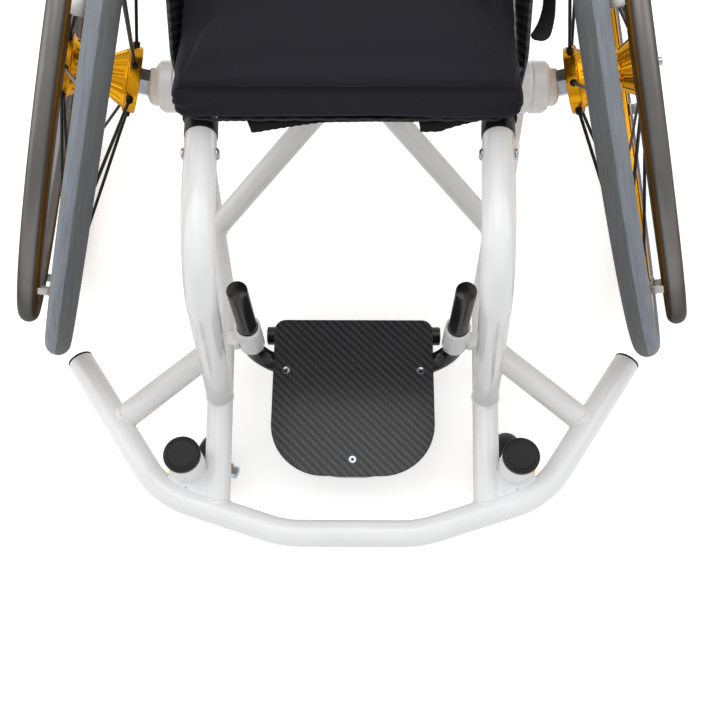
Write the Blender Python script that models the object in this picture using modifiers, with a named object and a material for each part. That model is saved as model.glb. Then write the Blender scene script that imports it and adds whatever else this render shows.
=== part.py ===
"""Court wheelchair with cambered drive wheels, a welded frame, a front bumper and a carbon footplate.

Real size in metres, +Z up, the front at -Y, standing on Z = 0. Places are written from the axle line of the
drive wheels: x to the side, y behind the axle line and z above the floor. Left and right are as seen from the front.
"""

import math
from collections import namedtuple

import bmesh
import bpy
from mathutils import Matrix, Vector

# Clearance between pieces that touch, and the reach of a cutter past the face that it opens
GAP = 0.0003
PAST = 0.004

# Sides of the pieces: frame tubes, thin tubes, bends and rings
TUBE_SIDES = 16
THIN_SIDES = 12
BEND_STEP = math.radians(15.0)
RING_STEPS = 44
HANDRIM_SIDES = 8
HUB_STEPS = 24
CASTER_STEPS = 20
SPOKE_SIDES = 6

# Drive wheels
WHEEL_RADIUS = 0.305
TYRE_RADIUS = 0.013
TYRE_ARC_STEPS = 3
CAMBER = math.radians(20.0)
TYRE_TOP_X = 0.17413
TYRE_SEAT_HALF_WIDTH = 0.0077
RIM_DEPTH = 0.0232
RIM_HALF_WIDTH = 0.010
RIM_CHAMFER = 0.005
RIM_INNER_HALF_WIDTH = 0.007
HANDRIM_DROP = 0.0172
HANDRIM_TUBE = 0.0102
HANDRIM_OFFSET = 0.033
TAB_COUNT = 6
TAB_DROP = 0.014
TAB_SIZE = (0.0055, 0.0135)
TAB_ANGLES = {"left": math.radians(32.0), "right": math.radians(26.5)}

# Hubs: a spool with two flanges, grooved necks and straight-pull spokes
HUB_FACE_IN = -0.045
HUB_FACE_OUT = 0.037
FLANGE_RADIUS = 0.035
FLANGE_WIDTH = 0.013
FLANGE_RADIUS_OUT = 0.034
FLANGE_WIDTH_OUT = 0.012
FLANGE_BEVEL = 0.001
NECK_RADIUS = 0.0315
WAIST_RADIUS = 0.019
WAIST = (-0.010, 0.005)
GROOVE_COUNT = 6
GROOVE_RADIUS = 0.0075
GROOVE_CENTRE = 0.0325
GROOVE_SIDES = 12
SPOKES_PER_FLANGE = 6
SPOKE_RADIUS = 0.0018
SPOKE_HEAD_RADIUS = 0.0036
SPOKE_HEAD_LENGTH = 0.004
SPOKE_ROOT = 0.030
SPOKE_ANGLES = {"left": math.radians(-13.0), "right": math.radians(162.0)}
AXLE_RADIUS = 0.00635
AXLE_CLEARANCE = 0.00035
BEARING_RADIUS = 0.014
BEARING_WIDTH = 0.008

# Axle pins: a quick-release pin with a hexagon nut inside the hub and a button in its outer end
PIN_END = -0.0742
NUT_RADIUS = 0.0148
NUT_LENGTH = 0.0115
PIN_HEAD_RADIUS = 0.0095
PIN_HEAD_LENGTH = 0.010
BUTTON_RADIUS = 0.0045
BUTTON_LENGTH = 0.0105
BUTTON_OUT = 0.005
BUTTON_BORE_DEPTH = 0.0097

# Axle across the frame
CAMBER_TUBE_RADIUS = 0.019
CAMBER_TUBE_SET_BACK = 0.074
SLEEVE_SET_BACKS = (0.114, 0.0635, 0.0525)
SLEEVE_RADIUS = 0.0277
SLEEVE_SMALL_RADIUS = 0.0202
SLEEVE_CHAMFER = 0.002
UPRIGHT_TOP_X = 0.177
BRACE_TOP_X = 0.015
BRACE_FOOT_Y = -0.087
BRACE_RADIUS = 0.0127

# Lower frame: bumper and rails in one level plane
FRAME_RADIUS = 0.0143
FRAME_Z = 0.100
BUMPER_END = (0.3131, -0.2571)
BUMPER_SHOULDER = (0.2073, -0.4118)
BUMPER_NOSE = (0.072, -0.455)
SHOULDER_BEND = 0.100
NOSE_BEND = 0.120
CAP_BORE_RADIUS = 0.0118
CAP_BORE_DEPTH = 0.018
CAP_PLUG_LENGTH = 0.015
CAP_THICKNESS = 0.0025
RAIL_FRONT_X = 0.1455
RAIL_KNEE = (0.1535, -0.178)
RAIL_HIP = (0.196, 0.042)
RAIL_REAR = (0.178, 0.170)
KNEE_BEND = 0.150
HIP_BEND = 0.120
REAR_BEND = 0.060
STRUT_RAIL_Y = -0.2345
STRUT_BUMPER_X = 0.2621
CROSS_TUBE_Y = 0.115

# Seat line of the rails and the main tubes' upper ends: it drops and spreads towards the back
SEAT_FRONT = (0.1297, -0.167, 0.4085)
SEAT_SPREAD = 0.055
SEAT_DUMP = 0.100
MAIN_CORNER_Y = -0.306
MAIN_FOOT_Y = -0.302
MAIN_BEND = 0.065
SEAT_RAIL_RADIUS = 0.0127
PLUG_DEPTH = 0.055
BORE_SPARE = 0.003

# Backrest
LEAN = math.radians(8.0)
UPRIGHT_BEND_Z = 0.360
UPRIGHT_BEND = 0.080
UPRIGHT_TOP_Z = 0.430
POST_TOP_Z = 0.715
POST_PLUG = 0.048
BACK_BAR_Z = 0.600
BACK_BAR_RADIUS = 0.0095
BACK_BAR_SET_BACK = 0.050
BACK_BAR_CORNER_X = 0.100
BACK_BAR_BEND = 0.040
BACK_LOW_Z = 0.500
BACK_HIGH_Z = 0.702
BACK_SAG = 0.022
BACK_THICKNESS = 0.0045

# Seat
SLING_FRONT_Y = -0.150
SLING_REAR_Y = 0.150
SLING_SAG = 0.006
SLING_THICKNESS = 0.0025
SHEET_WRAP = math.radians(130.0)
SHEET_WRAP_STEPS = 5
SHEET_SPAN_STEPS = 8
CUSHION_FRONT_Y = -0.167
CUSHION_REAR_Y = 0.146
CUSHION_HALF_WIDTH = 0.149
CUSHION_FRONT_HALF_WIDTH = 0.1445
CUSHION_TAPER_Y = -0.080
CUSHION_THICKNESS = 0.046
CUSHION_CROWN = 0.007
CUSHION_PULL = 0.003
CUSHION_EDGE = 0.007
CUSHION_COLUMNS = 14
CUSHION_ROWS = 12
CUSHION_LAYERS = 4

# Side guards
GUARD_STAND_OFF = 0.004
GUARD_THICKNESS = 0.003
GUARD_BELOW_RAIL = 0.006
GUARD_OUTLINE = ((-0.122, 0.452), (-0.080, 0.478), (-0.015, 0.530), (0.070, 0.545), (0.150, 0.495))
GUARD_CORNERS = (0.016, 0.060, 0.050, 0.050, 0.020)
GUARD_LOWER_CORNER = 0.010
GUARD_BOSS_RADIUS = 0.008
GUARD_BOSS_Y = (-0.095, 0.095)

# Casters
CASTER_X = 0.1768
CASTER_Y = -0.3842
CASTER_TURN = {"left": math.radians(-20.0), "right": math.radians(-3.0)}
BARREL_RADIUS = 0.0185
BARREL_LOW = 0.083
BARREL_HIGH = 0.150
STEM_RADIUS = 0.008
CAP_RADIUS = 0.0195
CAP_HEIGHT = 0.0082
CAP_EDGE = 0.0015
CAP_SPIGOT = 0.006
WEB_THICKNESS = 0.020
WEB_WIDTH = 0.024
CASTER_RADIUS = 0.0355
CASTER_WIDTH = 0.026
CASTER_TRAIL = 0.0255
CROWN_THICKNESS = 0.0085
CASTER_LEG_THICKNESS = 0.0075
CASTER_SIDE_GAP = 0.006

# Anti-tip caster behind the axle
ANTI_TIP_Y = 0.285
ANTI_TIP_ARM_RADIUS = 0.0111
ANTI_TIP_BARREL_RADIUS = 0.015
ANTI_TIP_BARREL_LOW = 0.0795
ANTI_TIP_BARREL_HIGH = 0.118
ANTI_TIP_STEM_RADIUS = 0.006
ANTI_TIP_RADIUS = 0.031
ANTI_TIP_WIDTH = 0.020
ANTI_TIP_TRAIL = 0.018
ANTI_TIP_FLOOR_GAP = 0.008
ANTI_TIP_CROWN = 0.006
ANTI_TIP_LEG_THICKNESS = 0.003

# Fork and axle details that both sizes of caster share
LEG_END_RADIUS = 0.009
ANTI_TIP_SIDE_GAP = 0.0025
CROWN_OVERHANG = 0.014
CASTER_AXLE_RADIUS = 0.004
CASTER_NUT_RADIUS = 0.0072
CASTER_NUT_LENGTH = 0.009
WHEEL_EDGE = 0.009

# Footrest
POST_X = 0.1175
POST_Y = -0.233
POST_TOP = 0.235
POST_RADIUS = 0.0111
SLEEVE_WALL = 0.0036
FOOT_SLEEVE_LOW = 0.095
FOOT_SLEEVE_HIGH = 0.143
LUG_HEIGHT = 0.017
LUG_WIDTH = 0.018
HOOP_Z = 0.060
HOOP_BEND = 0.025
HOOP_SIDE = (0.072, -0.252)
HOOP_SIDE_BEND = 0.028
HOOP_FRONT = (0.050, -0.372)
HOOP_FRONT_BEND = 0.045
HEEL_BAR_Y = -0.208
HEEL_BAR_HALF_LENGTH = 0.104
HEEL_BAR_RADIUS = 0.0111
PLATE_THICKNESS = 0.003
PLATE_HALF_WIDTH = 0.0942
PLATE_REAR_Y = -0.193
PLATE_FRONT_Y = -0.385
PLATE_REAR_CORNER = 0.013
PLATE_FRONT_CORNER = 0.062

# Worked out from the sizes above
TYRE_RING = WHEEL_RADIUS - TYRE_RADIUS
WHEEL_X = TYRE_TOP_X + TYRE_RING * math.sin(CAMBER)
WHEEL_Z = TYRE_RING * math.cos(CAMBER) + TYRE_RADIUS
RIM_RADIUS = TYRE_RING - math.sqrt(TYRE_RADIUS ** 2 - TYRE_SEAT_HALF_WIDTH ** 2) - GAP
RIM_INNER_RADIUS = RIM_RADIUS - RIM_DEPTH
HANDRIM_RADIUS = RIM_RADIUS - HANDRIM_DROP
TAB_RADIUS = RIM_RADIUS - TAB_DROP
CAMBER_TUBE_END = WHEEL_X - CAMBER_TUBE_SET_BACK
SLEEVE_START, SLEEVE_STEP, SLEEVE_END = (WHEEL_X - set_back for set_back in SLEEVE_SET_BACKS)
AXLE_MEET_X = (CAMBER_TUBE_END + SLEEVE_STEP) / 2
CAMBER_TUBE_Z = WHEEL_Z - (WHEEL_X - AXLE_MEET_X) * math.tan(CAMBER)
SHEET_RADIUS = (SEAT_RAIL_RADIUS + GAP) / math.cos(SHEET_WRAP / SHEET_WRAP_STEPS / 2)
CUSHION_BASE = (SHEET_RADIUS + SLING_THICKNESS) * math.hypot(1.0, SEAT_DUMP) + GAP
PLATE_LOW = HOOP_Z + POST_RADIUS + GAP
FRONT_REACH = FRAME_RADIUS - BUMPER_NOSE[1]
REAR_REACH = ANTI_TIP_Y + ANTI_TIP_TRAIL + ANTI_TIP_RADIUS
AXLE_Y = (FRONT_REACH - REAR_REACH) / 2
SIDES = (("left", -1), ("right", 1))

# Colour, roughness and metallic value of each finish
FINISHES = {
    "white_paint": ((0.86, 0.86, 0.86), 0.15, 0.0),
    "sleeve_plastic": ((0.78, 0.77, 0.75), 0.30, 0.0),
    "black_tube": ((0.012, 0.012, 0.013), 0.35, 0.0),
    "black_plastic": ((0.014, 0.014, 0.015), 0.30, 0.0),
    "gold_anodised": ((0.85, 0.48, 0.04), 0.28, 1.0),
    "titanium": ((0.22, 0.21, 0.20), 0.38, 1.0),
    "silver_steel": ((0.55, 0.56, 0.58), 0.25, 1.0),
    "grey_tyre": ((0.14, 0.15, 0.165), 0.75, 0.0),
    "caster_tyre": ((0.02, 0.02, 0.021), 0.60, 0.0),
    "carbon": ((0.03, 0.03, 0.032), 0.25, 0.0),
    "seat_cloth": ((0.018, 0.019, 0.024), 0.80, 0.0),
}

# A tube's centre line with its radius and its number of sides
Run = namedtuple("Run", "points radius sides")


def clear_scene():
    for thing in list(bpy.data.objects):
        bpy.data.objects.remove(thing, do_unlink=True)


def new_collection(name):
    collection = bpy.data.collections.new(name)
    bpy.context.scene.collection.children.link(collection)
    return collection


def new_empty(name, place, turn=None, parent=None):
    """An empty that carries pieces; turn is a rotation matrix."""
    empty = bpy.data.objects.new(name, None)
    PARTS.objects.link(empty)
    empty.matrix_local = Matrix.Translation(place) @ (turn or Matrix.Identity(4))
    empty.parent = parent
    return empty


def paint(name):
    if name in bpy.data.materials:
        return bpy.data.materials[name]
    colour, roughness, metallic = FINISHES[name]
    material = bpy.data.materials.new(name)
    material.use_nodes = True
    shader = material.node_tree.nodes["Principled BSDF"]
    shader.inputs["Base Color"].default_value = (*colour, 1.0)
    shader.inputs["Roughness"].default_value = roughness
    shader.inputs["Metallic"].default_value = metallic
    material.diffuse_color = (*colour, 1.0)
    return material


def place_object(name, data, finish, parent, turn=None):
    """A piece when it has a finish, and a hidden cutter when it has none."""
    thing = bpy.data.objects.new(name, data)
    if finish:
        PARTS.objects.link(thing)
        data.materials.append(paint(finish))
    else:
        CUTTERS.objects.link(thing)
        thing.hide_render = True
        thing.display_type = "WIRE"
    thing.parent = parent
    thing.matrix_local = turn or Matrix.Identity(4)
    return thing


def smooth(mesh, angle=35.0):
    mesh.shade_smooth()
    mesh.set_sharp_from_angle(angle=math.radians(angle))


def curve_to_mesh(name, curve, finish, parent, turn=None):
    """The closed mesh of a curve, with its caps welded to its sides."""
    guide = bpy.data.objects.new(name + "_curve", curve)
    CUTTERS.objects.link(guide)
    if turn:
        guide.matrix_world = turn
    bpy.context.view_layer.update()
    mesh = bpy.data.meshes.new_from_object(guide.evaluated_get(bpy.context.evaluated_depsgraph_get()))
    mesh.name = name
    form = bmesh.new()
    form.from_mesh(mesh)
    bmesh.ops.remove_doubles(form, verts=form.verts, dist=1e-5)
    bmesh.ops.recalc_face_normals(form, faces=form.faces)
    form.to_mesh(mesh)
    form.free()
    smooth(mesh)
    matrix = guide.matrix_world.copy()
    bpy.data.objects.remove(guide, do_unlink=True)
    bpy.data.curves.remove(curve)
    return place_object(name, mesh, finish, parent, matrix)


def arc_between(start, centre, end):
    """Points from start to end on the circle round centre."""
    first = Vector(start) - Vector(centre)
    last = Vector(end) - Vector(centre)
    angle = first.angle(last)
    axis = first.cross(last).normalized()
    steps = max(2, math.ceil(angle / BEND_STEP))
    turns = [Matrix.Rotation(angle * step / steps, 3, axis) for step in range(steps + 1)]
    return [Vector(centre) + turn @ first for turn in turns]


def bend(before, corner, after, radius):
    """The arc that rounds one corner."""
    back = (before - corner).normalized()
    ahead = (after - corner).normalized()
    half = back.angle(ahead) / 2
    centre = corner + (back + ahead).normalized() * radius / math.sin(half)
    reach = radius / math.tan(half)
    return arc_between(corner + back * reach, centre, corner + ahead * reach)


def rounded(corners, radii, closed=False):
    """A path through corners with its bends rounded; a closed one has a radius for every corner."""
    corners = [Vector(corner).to_3d() for corner in corners]
    count = len(corners)
    if closed:
        path = []
        for index, radius in enumerate(radii):
            path += bend(corners[index - 1], corners[index], corners[(index + 1) % count], radius)
        return path
    path = [corners[0]]
    for index, radius in enumerate(radii, start=1):
        path += bend(corners[index - 1], corners[index], corners[index + 1], radius)
    return path + [corners[-1]]


def poly_curve(name, points, closed=False, flat=False):
    curve = bpy.data.curves.new(name, "CURVE")
    curve.dimensions = "2D" if flat else "3D"
    spline = curve.splines.new("POLY")
    spline.points.add(len(points) - 1)
    for target, point in zip(spline.points, points):
        target.co = (*Vector(point).to_3d(), 1.0)
    spline.use_cyclic_u = closed
    return curve


def tube(name, run, finish, parent=None):
    """A round bar or tube along a run's centre line."""
    curve = poly_curve(name, run.points)
    curve.bevel_depth = run.radius
    curve.bevel_resolution = run.sides // 2 - 2
    curve.use_fill_caps = True
    return curve_to_mesh(name, curve, finish, parent or CHAIR)


def plate(name, outline, thickness, finish, turn, parent=None):
    """A flat outline with half its thickness to each side of its own plane, placed by turn."""
    curve = poly_curve(name, outline, closed=True, flat=True)
    curve.fill_mode = "BOTH"
    curve.extrude = thickness / 2
    return curve_to_mesh(name, curve, finish, parent or CHAIR, turn)


def turned(name, profile, steps, finish, parent, turn=None, closed=True):
    """A profile of (radius, height) pairs turned about local Z; a closed one is a ring."""
    form = bmesh.new()
    points = [form.verts.new((radius, 0.0, height)) for radius, height in profile]
    for first, second in zip(points, points[1:]):
        form.edges.new((first, second))
    if closed:
        form.edges.new((points[-1], points[0]))
    mesh = bpy.data.meshes.new(name)
    form.to_mesh(mesh)
    form.free()
    thing = place_object(name, mesh, finish, parent, turn)
    screw = thing.modifiers.new("turn", "SCREW")
    screw.steps = steps
    screw.render_steps = steps
    screw.use_merge_vertices = True
    screw.merge_threshold = 1e-5
    screw.use_smooth_shade = True
    return thing


def add_rod(form, start, end, radius, sides):
    """A cylinder between two points, added to a mesh in work."""
    start = Vector(start)
    along = Vector(end) - start
    turn = along.to_track_quat("Z", "X").to_matrix().to_4x4()
    middle = Matrix.Translation(start + along / 2)
    bmesh.ops.create_cone(
        form, cap_ends=True, segments=sides, radius1=radius, radius2=radius, depth=along.length, matrix=middle @ turn
    )


def add_box(form, size, centre, turn=None):
    """A box about a centre, turned first by a rotation matrix."""
    scale = Matrix.Diagonal((*size, 1.0))
    bmesh.ops.create_cube(form, size=1.0, matrix=Matrix.Translation(centre) @ (turn or Matrix.Identity(4)) @ scale)


def from_form(name, form, finish, parent, turn=None):
    mesh = bpy.data.meshes.new(name)
    form.to_mesh(mesh)
    form.free()
    smooth(mesh)
    return place_object(name, mesh, finish, parent, turn)


def rods(name, ends, radius, sides, finish, parent, turn=None):
    """One mesh with a cylinder for each pair of end points."""
    form = bmesh.new()
    for start, end in ends:
        add_rod(form, start, end, radius, sides)
    return from_form(name, form, finish, parent, turn)


def combine(thing, other, operation):
    modifier = thing.modifiers.new(other.name, "BOOLEAN")
    modifier.operation = operation
    modifier.object = other
    return thing


def cut(thing, cutter):
    return combine(thing, cutter, "DIFFERENCE")


def fuse(thing, addition):
    return combine(thing, addition, "UNION")


def cope(thing, *runs):
    """Cuts a piece back to the tubes that it is welded to."""
    for index, run in enumerate(runs):
        name = f"{thing.name}_cope_{index}"
        cut(thing, tube(name, run._replace(radius=run.radius + GAP), None))
    return thing


def at_height(run, side, axis, value):
    """The point of a run's centre line, on one side of the chair, where one coordinate has a value."""
    for first, second in zip(run.points, run.points[1:]):
        low, high = sorted((first[axis], second[axis]))
        middle_x = (first[0] + second[0]) / 2
        if low <= value <= high and middle_x * side > 0 and high > low:
            share = (value - first[axis]) / (second[axis] - first[axis])
            return first.lerp(second, share)
    raise ValueError("the run doesn't reach that place")


def seat_point(side, y):
    """A point of the seat line, on which the main tube's upper end and the seat rail lie."""
    back = y - SEAT_FRONT[1]
    return Vector((side * (SEAT_FRONT[0] + SEAT_SPREAD * back), y, SEAT_FRONT[2] - SEAT_DUMP * back))


def upright_point(side, z):
    """A point of the leaning line that the rear upright's top and the backrest post share."""
    rise = z - UPRIGHT_BEND_Z
    start = Vector((side * abs(seat_point(side, RAIL_REAR[1])[0]), RAIL_REAR[1], UPRIGHT_BEND_Z))
    return start + Vector((0.0, math.tan(LEAN) * rise, rise))


def bumper_run():
    right = [BUMPER_NOSE, BUMPER_SHOULDER, BUMPER_END]
    left = [(-x, y) for x, y in reversed(right)]
    corners = [(x, y, FRAME_Z) for x, y in left + right]
    return Run(rounded(corners, (SHOULDER_BEND, NOSE_BEND, NOSE_BEND, SHOULDER_BEND)), FRAME_RADIUS, TUBE_SIDES)


def rail_run(side, bumper):
    """Lower rail from the bumper to the back, where it turns up into the rear upright."""
    front = at_height(bumper, side, 0, side * RAIL_FRONT_X)
    level = [(side * x, y, FRAME_Z) for x, y in (RAIL_KNEE, RAIL_HIP, RAIL_REAR)]
    corners = [front, *level, upright_point(side, UPRIGHT_BEND_Z), upright_point(side, UPRIGHT_TOP_Z)]
    return Run(rounded(corners, (KNEE_BEND, HIP_BEND, REAR_BEND, UPRIGHT_BEND)), FRAME_RADIUS, TUBE_SIDES)


def straight_run(start, end, radius, sides=TUBE_SIDES):
    return Run([Vector(start), Vector(end)], radius, sides)


def bore(thing, mouth, inward, radius, depth):
    """A round hole from an open tube end; inward points into the tube."""
    inward = Vector(inward).normalized()
    mouth = Vector(mouth)
    run = straight_run(mouth - inward * PAST, mouth + inward * depth, radius)
    return cut(thing, tube(thing.name + "_bore", run, None))


def make_bumper(bumper):
    piece = tube("front_bumper", bumper, "white_paint")
    for side, end, inner in ((-1, 0, 1), (1, -1, -2)):
        inward = bumper.points[inner] - bumper.points[end]
        mouth = bumper.points[end]
        run = straight_run(mouth - inward.normalized() * PAST, mouth + inward.normalized() * CAP_BORE_DEPTH, CAP_BORE_RADIUS + GAP)
        cut(piece, tube(f"front_bumper_bore_{side}", run, None))


def make_bumper_cap(name, side, bumper):
    """A thin disc over the open end with a plug inside the tube."""
    end, inner = (0, 1) if side < 0 else (-1, -2)
    outward = (bumper.points[end] - bumper.points[inner]).normalized()
    turn = Matrix.Translation(bumper.points[end]) @ outward.to_track_quat("Z", "X").to_matrix().to_4x4()
    profile = [
        (0.0, GAP + CAP_THICKNESS),
        (FRAME_RADIUS - CAP_EDGE, GAP + CAP_THICKNESS),
        (FRAME_RADIUS, GAP + CAP_THICKNESS - CAP_EDGE),
        (FRAME_RADIUS, GAP),
        (CAP_BORE_RADIUS, GAP),
        (CAP_BORE_RADIUS, -CAP_PLUG_LENGTH),
        (0.0, -CAP_PLUG_LENGTH),
    ]
    turned("bumper_cap_" + name, profile, TUBE_SIDES, "black_plastic", CHAIR, turn, closed=False)


def make_rail(name, side, rail, bumper):
    piece = tube("lower_rail_" + name, rail, "white_paint")
    cope(piece, bumper)
    inward = upright_point(side, UPRIGHT_BEND_Z) - upright_point(side, UPRIGHT_TOP_Z)
    depth = POST_PLUG + BORE_SPARE
    bore(piece, upright_point(side, UPRIGHT_TOP_Z), inward, SEAT_RAIL_RADIUS + GAP, depth)


def make_main_tube(name, side, rail):
    """From its open rear end forward along the seat line, round the bend and down to the rail."""
    corners = [seat_point(side, SEAT_FRONT[1]), seat_point(side, MAIN_CORNER_Y), at_height(rail, side, 1, MAIN_FOOT_Y)]
    run = Run(rounded(corners, (MAIN_BEND,)), FRAME_RADIUS, TUBE_SIDES)
    piece = tube("main_tube_" + name, run, "white_paint")
    cope(piece, rail)
    bore(piece, run.points[0], run.points[1] - run.points[0], SEAT_RAIL_RADIUS + GAP, PLUG_DEPTH + BORE_SPARE)
    return run


def make_wing_strut(name, side, rail, bumper):
    start = at_height(rail, side, 1, STRUT_RAIL_Y)
    end = at_height(bumper, side, 0, side * STRUT_BUMPER_X)
    piece = tube("wing_strut_" + name, straight_run(start, end, FRAME_RADIUS), "white_paint")
    cope(piece, rail, bumper)


def sleeve_run(side):
    start = (side * (SLEEVE_START - PAST), 0.0, CAMBER_TUBE_Z)
    return straight_run(start, (side * SLEEVE_END, 0.0, CAMBER_TUBE_Z), SLEEVE_RADIUS)


def camber_run():
    ends = [(x, 0.0, CAMBER_TUBE_Z) for x in (-CAMBER_TUBE_END, CAMBER_TUBE_END)]
    return straight_run(*ends, CAMBER_TUBE_RADIUS)


def make_brace(name, side, rail):
    foot = at_height(rail, side, 1, BRACE_FOOT_Y)
    run = straight_run((side * BRACE_TOP_X, 0.0, CAMBER_TUBE_Z), foot, BRACE_RADIUS)
    cope(tube("v_brace_" + name, run, "white_paint"), camber_run(), rail)


def make_upright(name, side, rail):
    """The short post that carries the axle sleeve on the lower rail."""
    foot = at_height(rail, side, 1, 0.0)
    run = straight_run(foot, (side * UPRIGHT_TOP_X, 0.0, CAMBER_TUBE_Z), BRACE_RADIUS)
    cope(tube("axle_upright_" + name, run, "white_paint"), rail, sleeve_run(side))


def make_sleeve(name, side):
    """A stepped cap on the camber tube's end; the axle pin's nut is let into its face."""
    turn = Matrix.Translation((0.0, 0.0, CAMBER_TUBE_Z)) @ Matrix.Rotation(side * math.pi / 2, 4, "Y")
    profile = [
        (0.0, SLEEVE_END),
        (SLEEVE_SMALL_RADIUS - SLEEVE_CHAMFER, SLEEVE_END),
        (SLEEVE_SMALL_RADIUS, SLEEVE_END - SLEEVE_CHAMFER),
        (SLEEVE_SMALL_RADIUS, SLEEVE_STEP),
        (SLEEVE_RADIUS - SLEEVE_CHAMFER, SLEEVE_STEP),
        (SLEEVE_RADIUS, SLEEVE_STEP - SLEEVE_CHAMFER),
        (SLEEVE_RADIUS, SLEEVE_START),
        (CAMBER_TUBE_RADIUS + GAP, SLEEVE_START),
        (CAMBER_TUBE_RADIUS + GAP, CAMBER_TUBE_END + GAP),
        (0.0, CAMBER_TUBE_END + GAP),
    ]
    piece = turned("axle_sleeve_" + name, profile, TUBE_SIDES, "sleeve_plastic", CHAIR, turn, closed=False)
    nut_end = HUB_FACE_IN - GAP - NUT_LENGTH
    shaft = [((0.0, 0.0, PIN_END - GAP), (0.0, 0.0, nut_end))]
    nut = [((0.0, 0.0, nut_end - GAP), (0.0, 0.0, HUB_FACE_IN))]
    cut(piece, rods(f"axle_sleeve_{name}_pin", shaft, AXLE_RADIUS + GAP, THIN_SIDES, None, WHEELS[name]))
    cut(piece, rods(f"axle_sleeve_{name}_nut", nut, NUT_RADIUS + GAP, 6, None, WHEELS[name]))


def make_pin(name):
    """Axle pin through the hub, with the nut inside the hub and the button's bore in its head."""
    head_in = HUB_FACE_OUT + GAP
    head_out = head_in + PIN_HEAD_LENGTH
    profile = [
        (0.0, head_out - BUTTON_BORE_DEPTH),
        (BUTTON_RADIUS + GAP, head_out - BUTTON_BORE_DEPTH),
        (BUTTON_RADIUS + GAP, head_out),
        (PIN_HEAD_RADIUS, head_out),
        (PIN_HEAD_RADIUS, head_in),
        (AXLE_RADIUS, head_in),
        (AXLE_RADIUS, PIN_END),
        (0.0, PIN_END),
    ]
    piece = turned("axle_pin_" + name, profile, THIN_SIDES, "silver_steel", WHEELS[name], closed=False)
    nut_out = HUB_FACE_IN - GAP
    nut = [((0.0, 0.0, nut_out - NUT_LENGTH), (0.0, 0.0, nut_out))]
    fuse(piece, rods(f"axle_pin_{name}_nut", nut, NUT_RADIUS, 6, None, WHEELS[name]))


def make_button(name):
    top = HUB_FACE_OUT + GAP + PIN_HEAD_LENGTH + BUTTON_OUT
    profile = [
        (0.0, top),
        (BUTTON_RADIUS - FLANGE_BEVEL, top),
        (BUTTON_RADIUS, top - FLANGE_BEVEL),
        (BUTTON_RADIUS, top - BUTTON_LENGTH),
        (0.0, top - BUTTON_LENGTH),
    ]
    turned("release_button_" + name, profile, THIN_SIDES, "silver_steel", WHEELS[name], closed=False)


def make_tyre(name):
    """Round tread with a flat seat; one row of points lies where the cambered tyre meets the floor."""
    seat = math.pi - math.asin(TYRE_SEAT_HALF_WIDTH / TYRE_RADIUS)
    arc = [CAMBER + (seat - CAMBER) * step / TYRE_ARC_STEPS for step in range(TYRE_ARC_STEPS + 1)]
    angles = list(reversed(arc)) + [-angle for angle in arc]
    profile = [(TYRE_RING + TYRE_RADIUS * math.cos(angle), TYRE_RADIUS * math.sin(angle)) for angle in angles]
    turned("tyre_" + name, profile, RING_STEPS, "grey_tyre", WHEELS[name])


def make_rim(name):
    side_end = RIM_INNER_RADIUS + RIM_CHAMFER
    profile = [
        (RIM_INNER_RADIUS, RIM_INNER_HALF_WIDTH),
        (side_end, RIM_HALF_WIDTH),
        (RIM_RADIUS, RIM_HALF_WIDTH),
        (RIM_RADIUS, -RIM_HALF_WIDTH),
        (side_end, -RIM_HALF_WIDTH),
        (RIM_INNER_RADIUS, -RIM_INNER_HALF_WIDTH),
    ]
    turned("rim_" + name, profile, RING_STEPS, "gold_anodised", WHEELS[name])


def make_handrim(name):
    """A ring with flat tabs that reach in to the rim's side."""
    circle = [math.tau * (step + 0.5) / HANDRIM_SIDES for step in range(HANDRIM_SIDES)]
    profile = [
        (HANDRIM_RADIUS + HANDRIM_TUBE * math.sin(angle), HANDRIM_OFFSET + HANDRIM_TUBE * math.cos(angle))
        for angle in circle
    ]
    piece = turned("handrim_" + name, profile, RING_STEPS, "titanium", WHEELS[name])
    form = bmesh.new()
    low = RIM_HALF_WIDTH + GAP
    for index in range(TAB_COUNT):
        turn = Matrix.Rotation(TAB_ANGLES[name] + math.tau * index / TAB_COUNT, 4, "Z")
        centre = turn @ Vector((TAB_RADIUS, 0.0, (low + HANDRIM_OFFSET) / 2))
        add_box(form, (*TAB_SIZE, HANDRIM_OFFSET - low), centre, turn)
    fuse(piece, from_form(f"handrim_{name}_tabs", form, None, WHEELS[name]))


def hub_profile():
    """The spool's section with its bore and the seat of the inner bearing."""
    bore_radius = AXLE_RADIUS + AXLE_CLEARANCE
    seat = HUB_FACE_IN + BEARING_WIDTH + GAP
    return [
        (bore_radius, HUB_FACE_OUT),
        (FLANGE_RADIUS_OUT - FLANGE_BEVEL, HUB_FACE_OUT),
        (FLANGE_RADIUS_OUT, HUB_FACE_OUT - FLANGE_BEVEL),
        (FLANGE_RADIUS_OUT, HUB_FACE_OUT - FLANGE_WIDTH_OUT),
        (NECK_RADIUS, HUB_FACE_OUT - FLANGE_WIDTH_OUT),
        (WAIST_RADIUS, WAIST[1]),
        (WAIST_RADIUS, WAIST[0]),
        (NECK_RADIUS, HUB_FACE_IN + FLANGE_WIDTH),
        (FLANGE_RADIUS, HUB_FACE_IN + FLANGE_WIDTH),
        (FLANGE_RADIUS, HUB_FACE_IN + FLANGE_BEVEL),
        (FLANGE_RADIUS - FLANGE_BEVEL, HUB_FACE_IN),
        (BEARING_RADIUS + GAP, HUB_FACE_IN),
        (BEARING_RADIUS + GAP, seat),
        (bore_radius, seat),
    ]


def groove_ends(start_angle, low, high):
    """End points of the grooves' cutters, parallel to the axle between the spokes of one flange."""
    ends = []
    for index in range(GROOVE_COUNT):
        angle = start_angle + math.tau * (index + 0.5) / GROOVE_COUNT
        x, y = GROOVE_CENTRE * math.cos(angle), GROOVE_CENTRE * math.sin(angle)
        ends.append(((x, y, low), (x, y, high)))
    return ends


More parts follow.
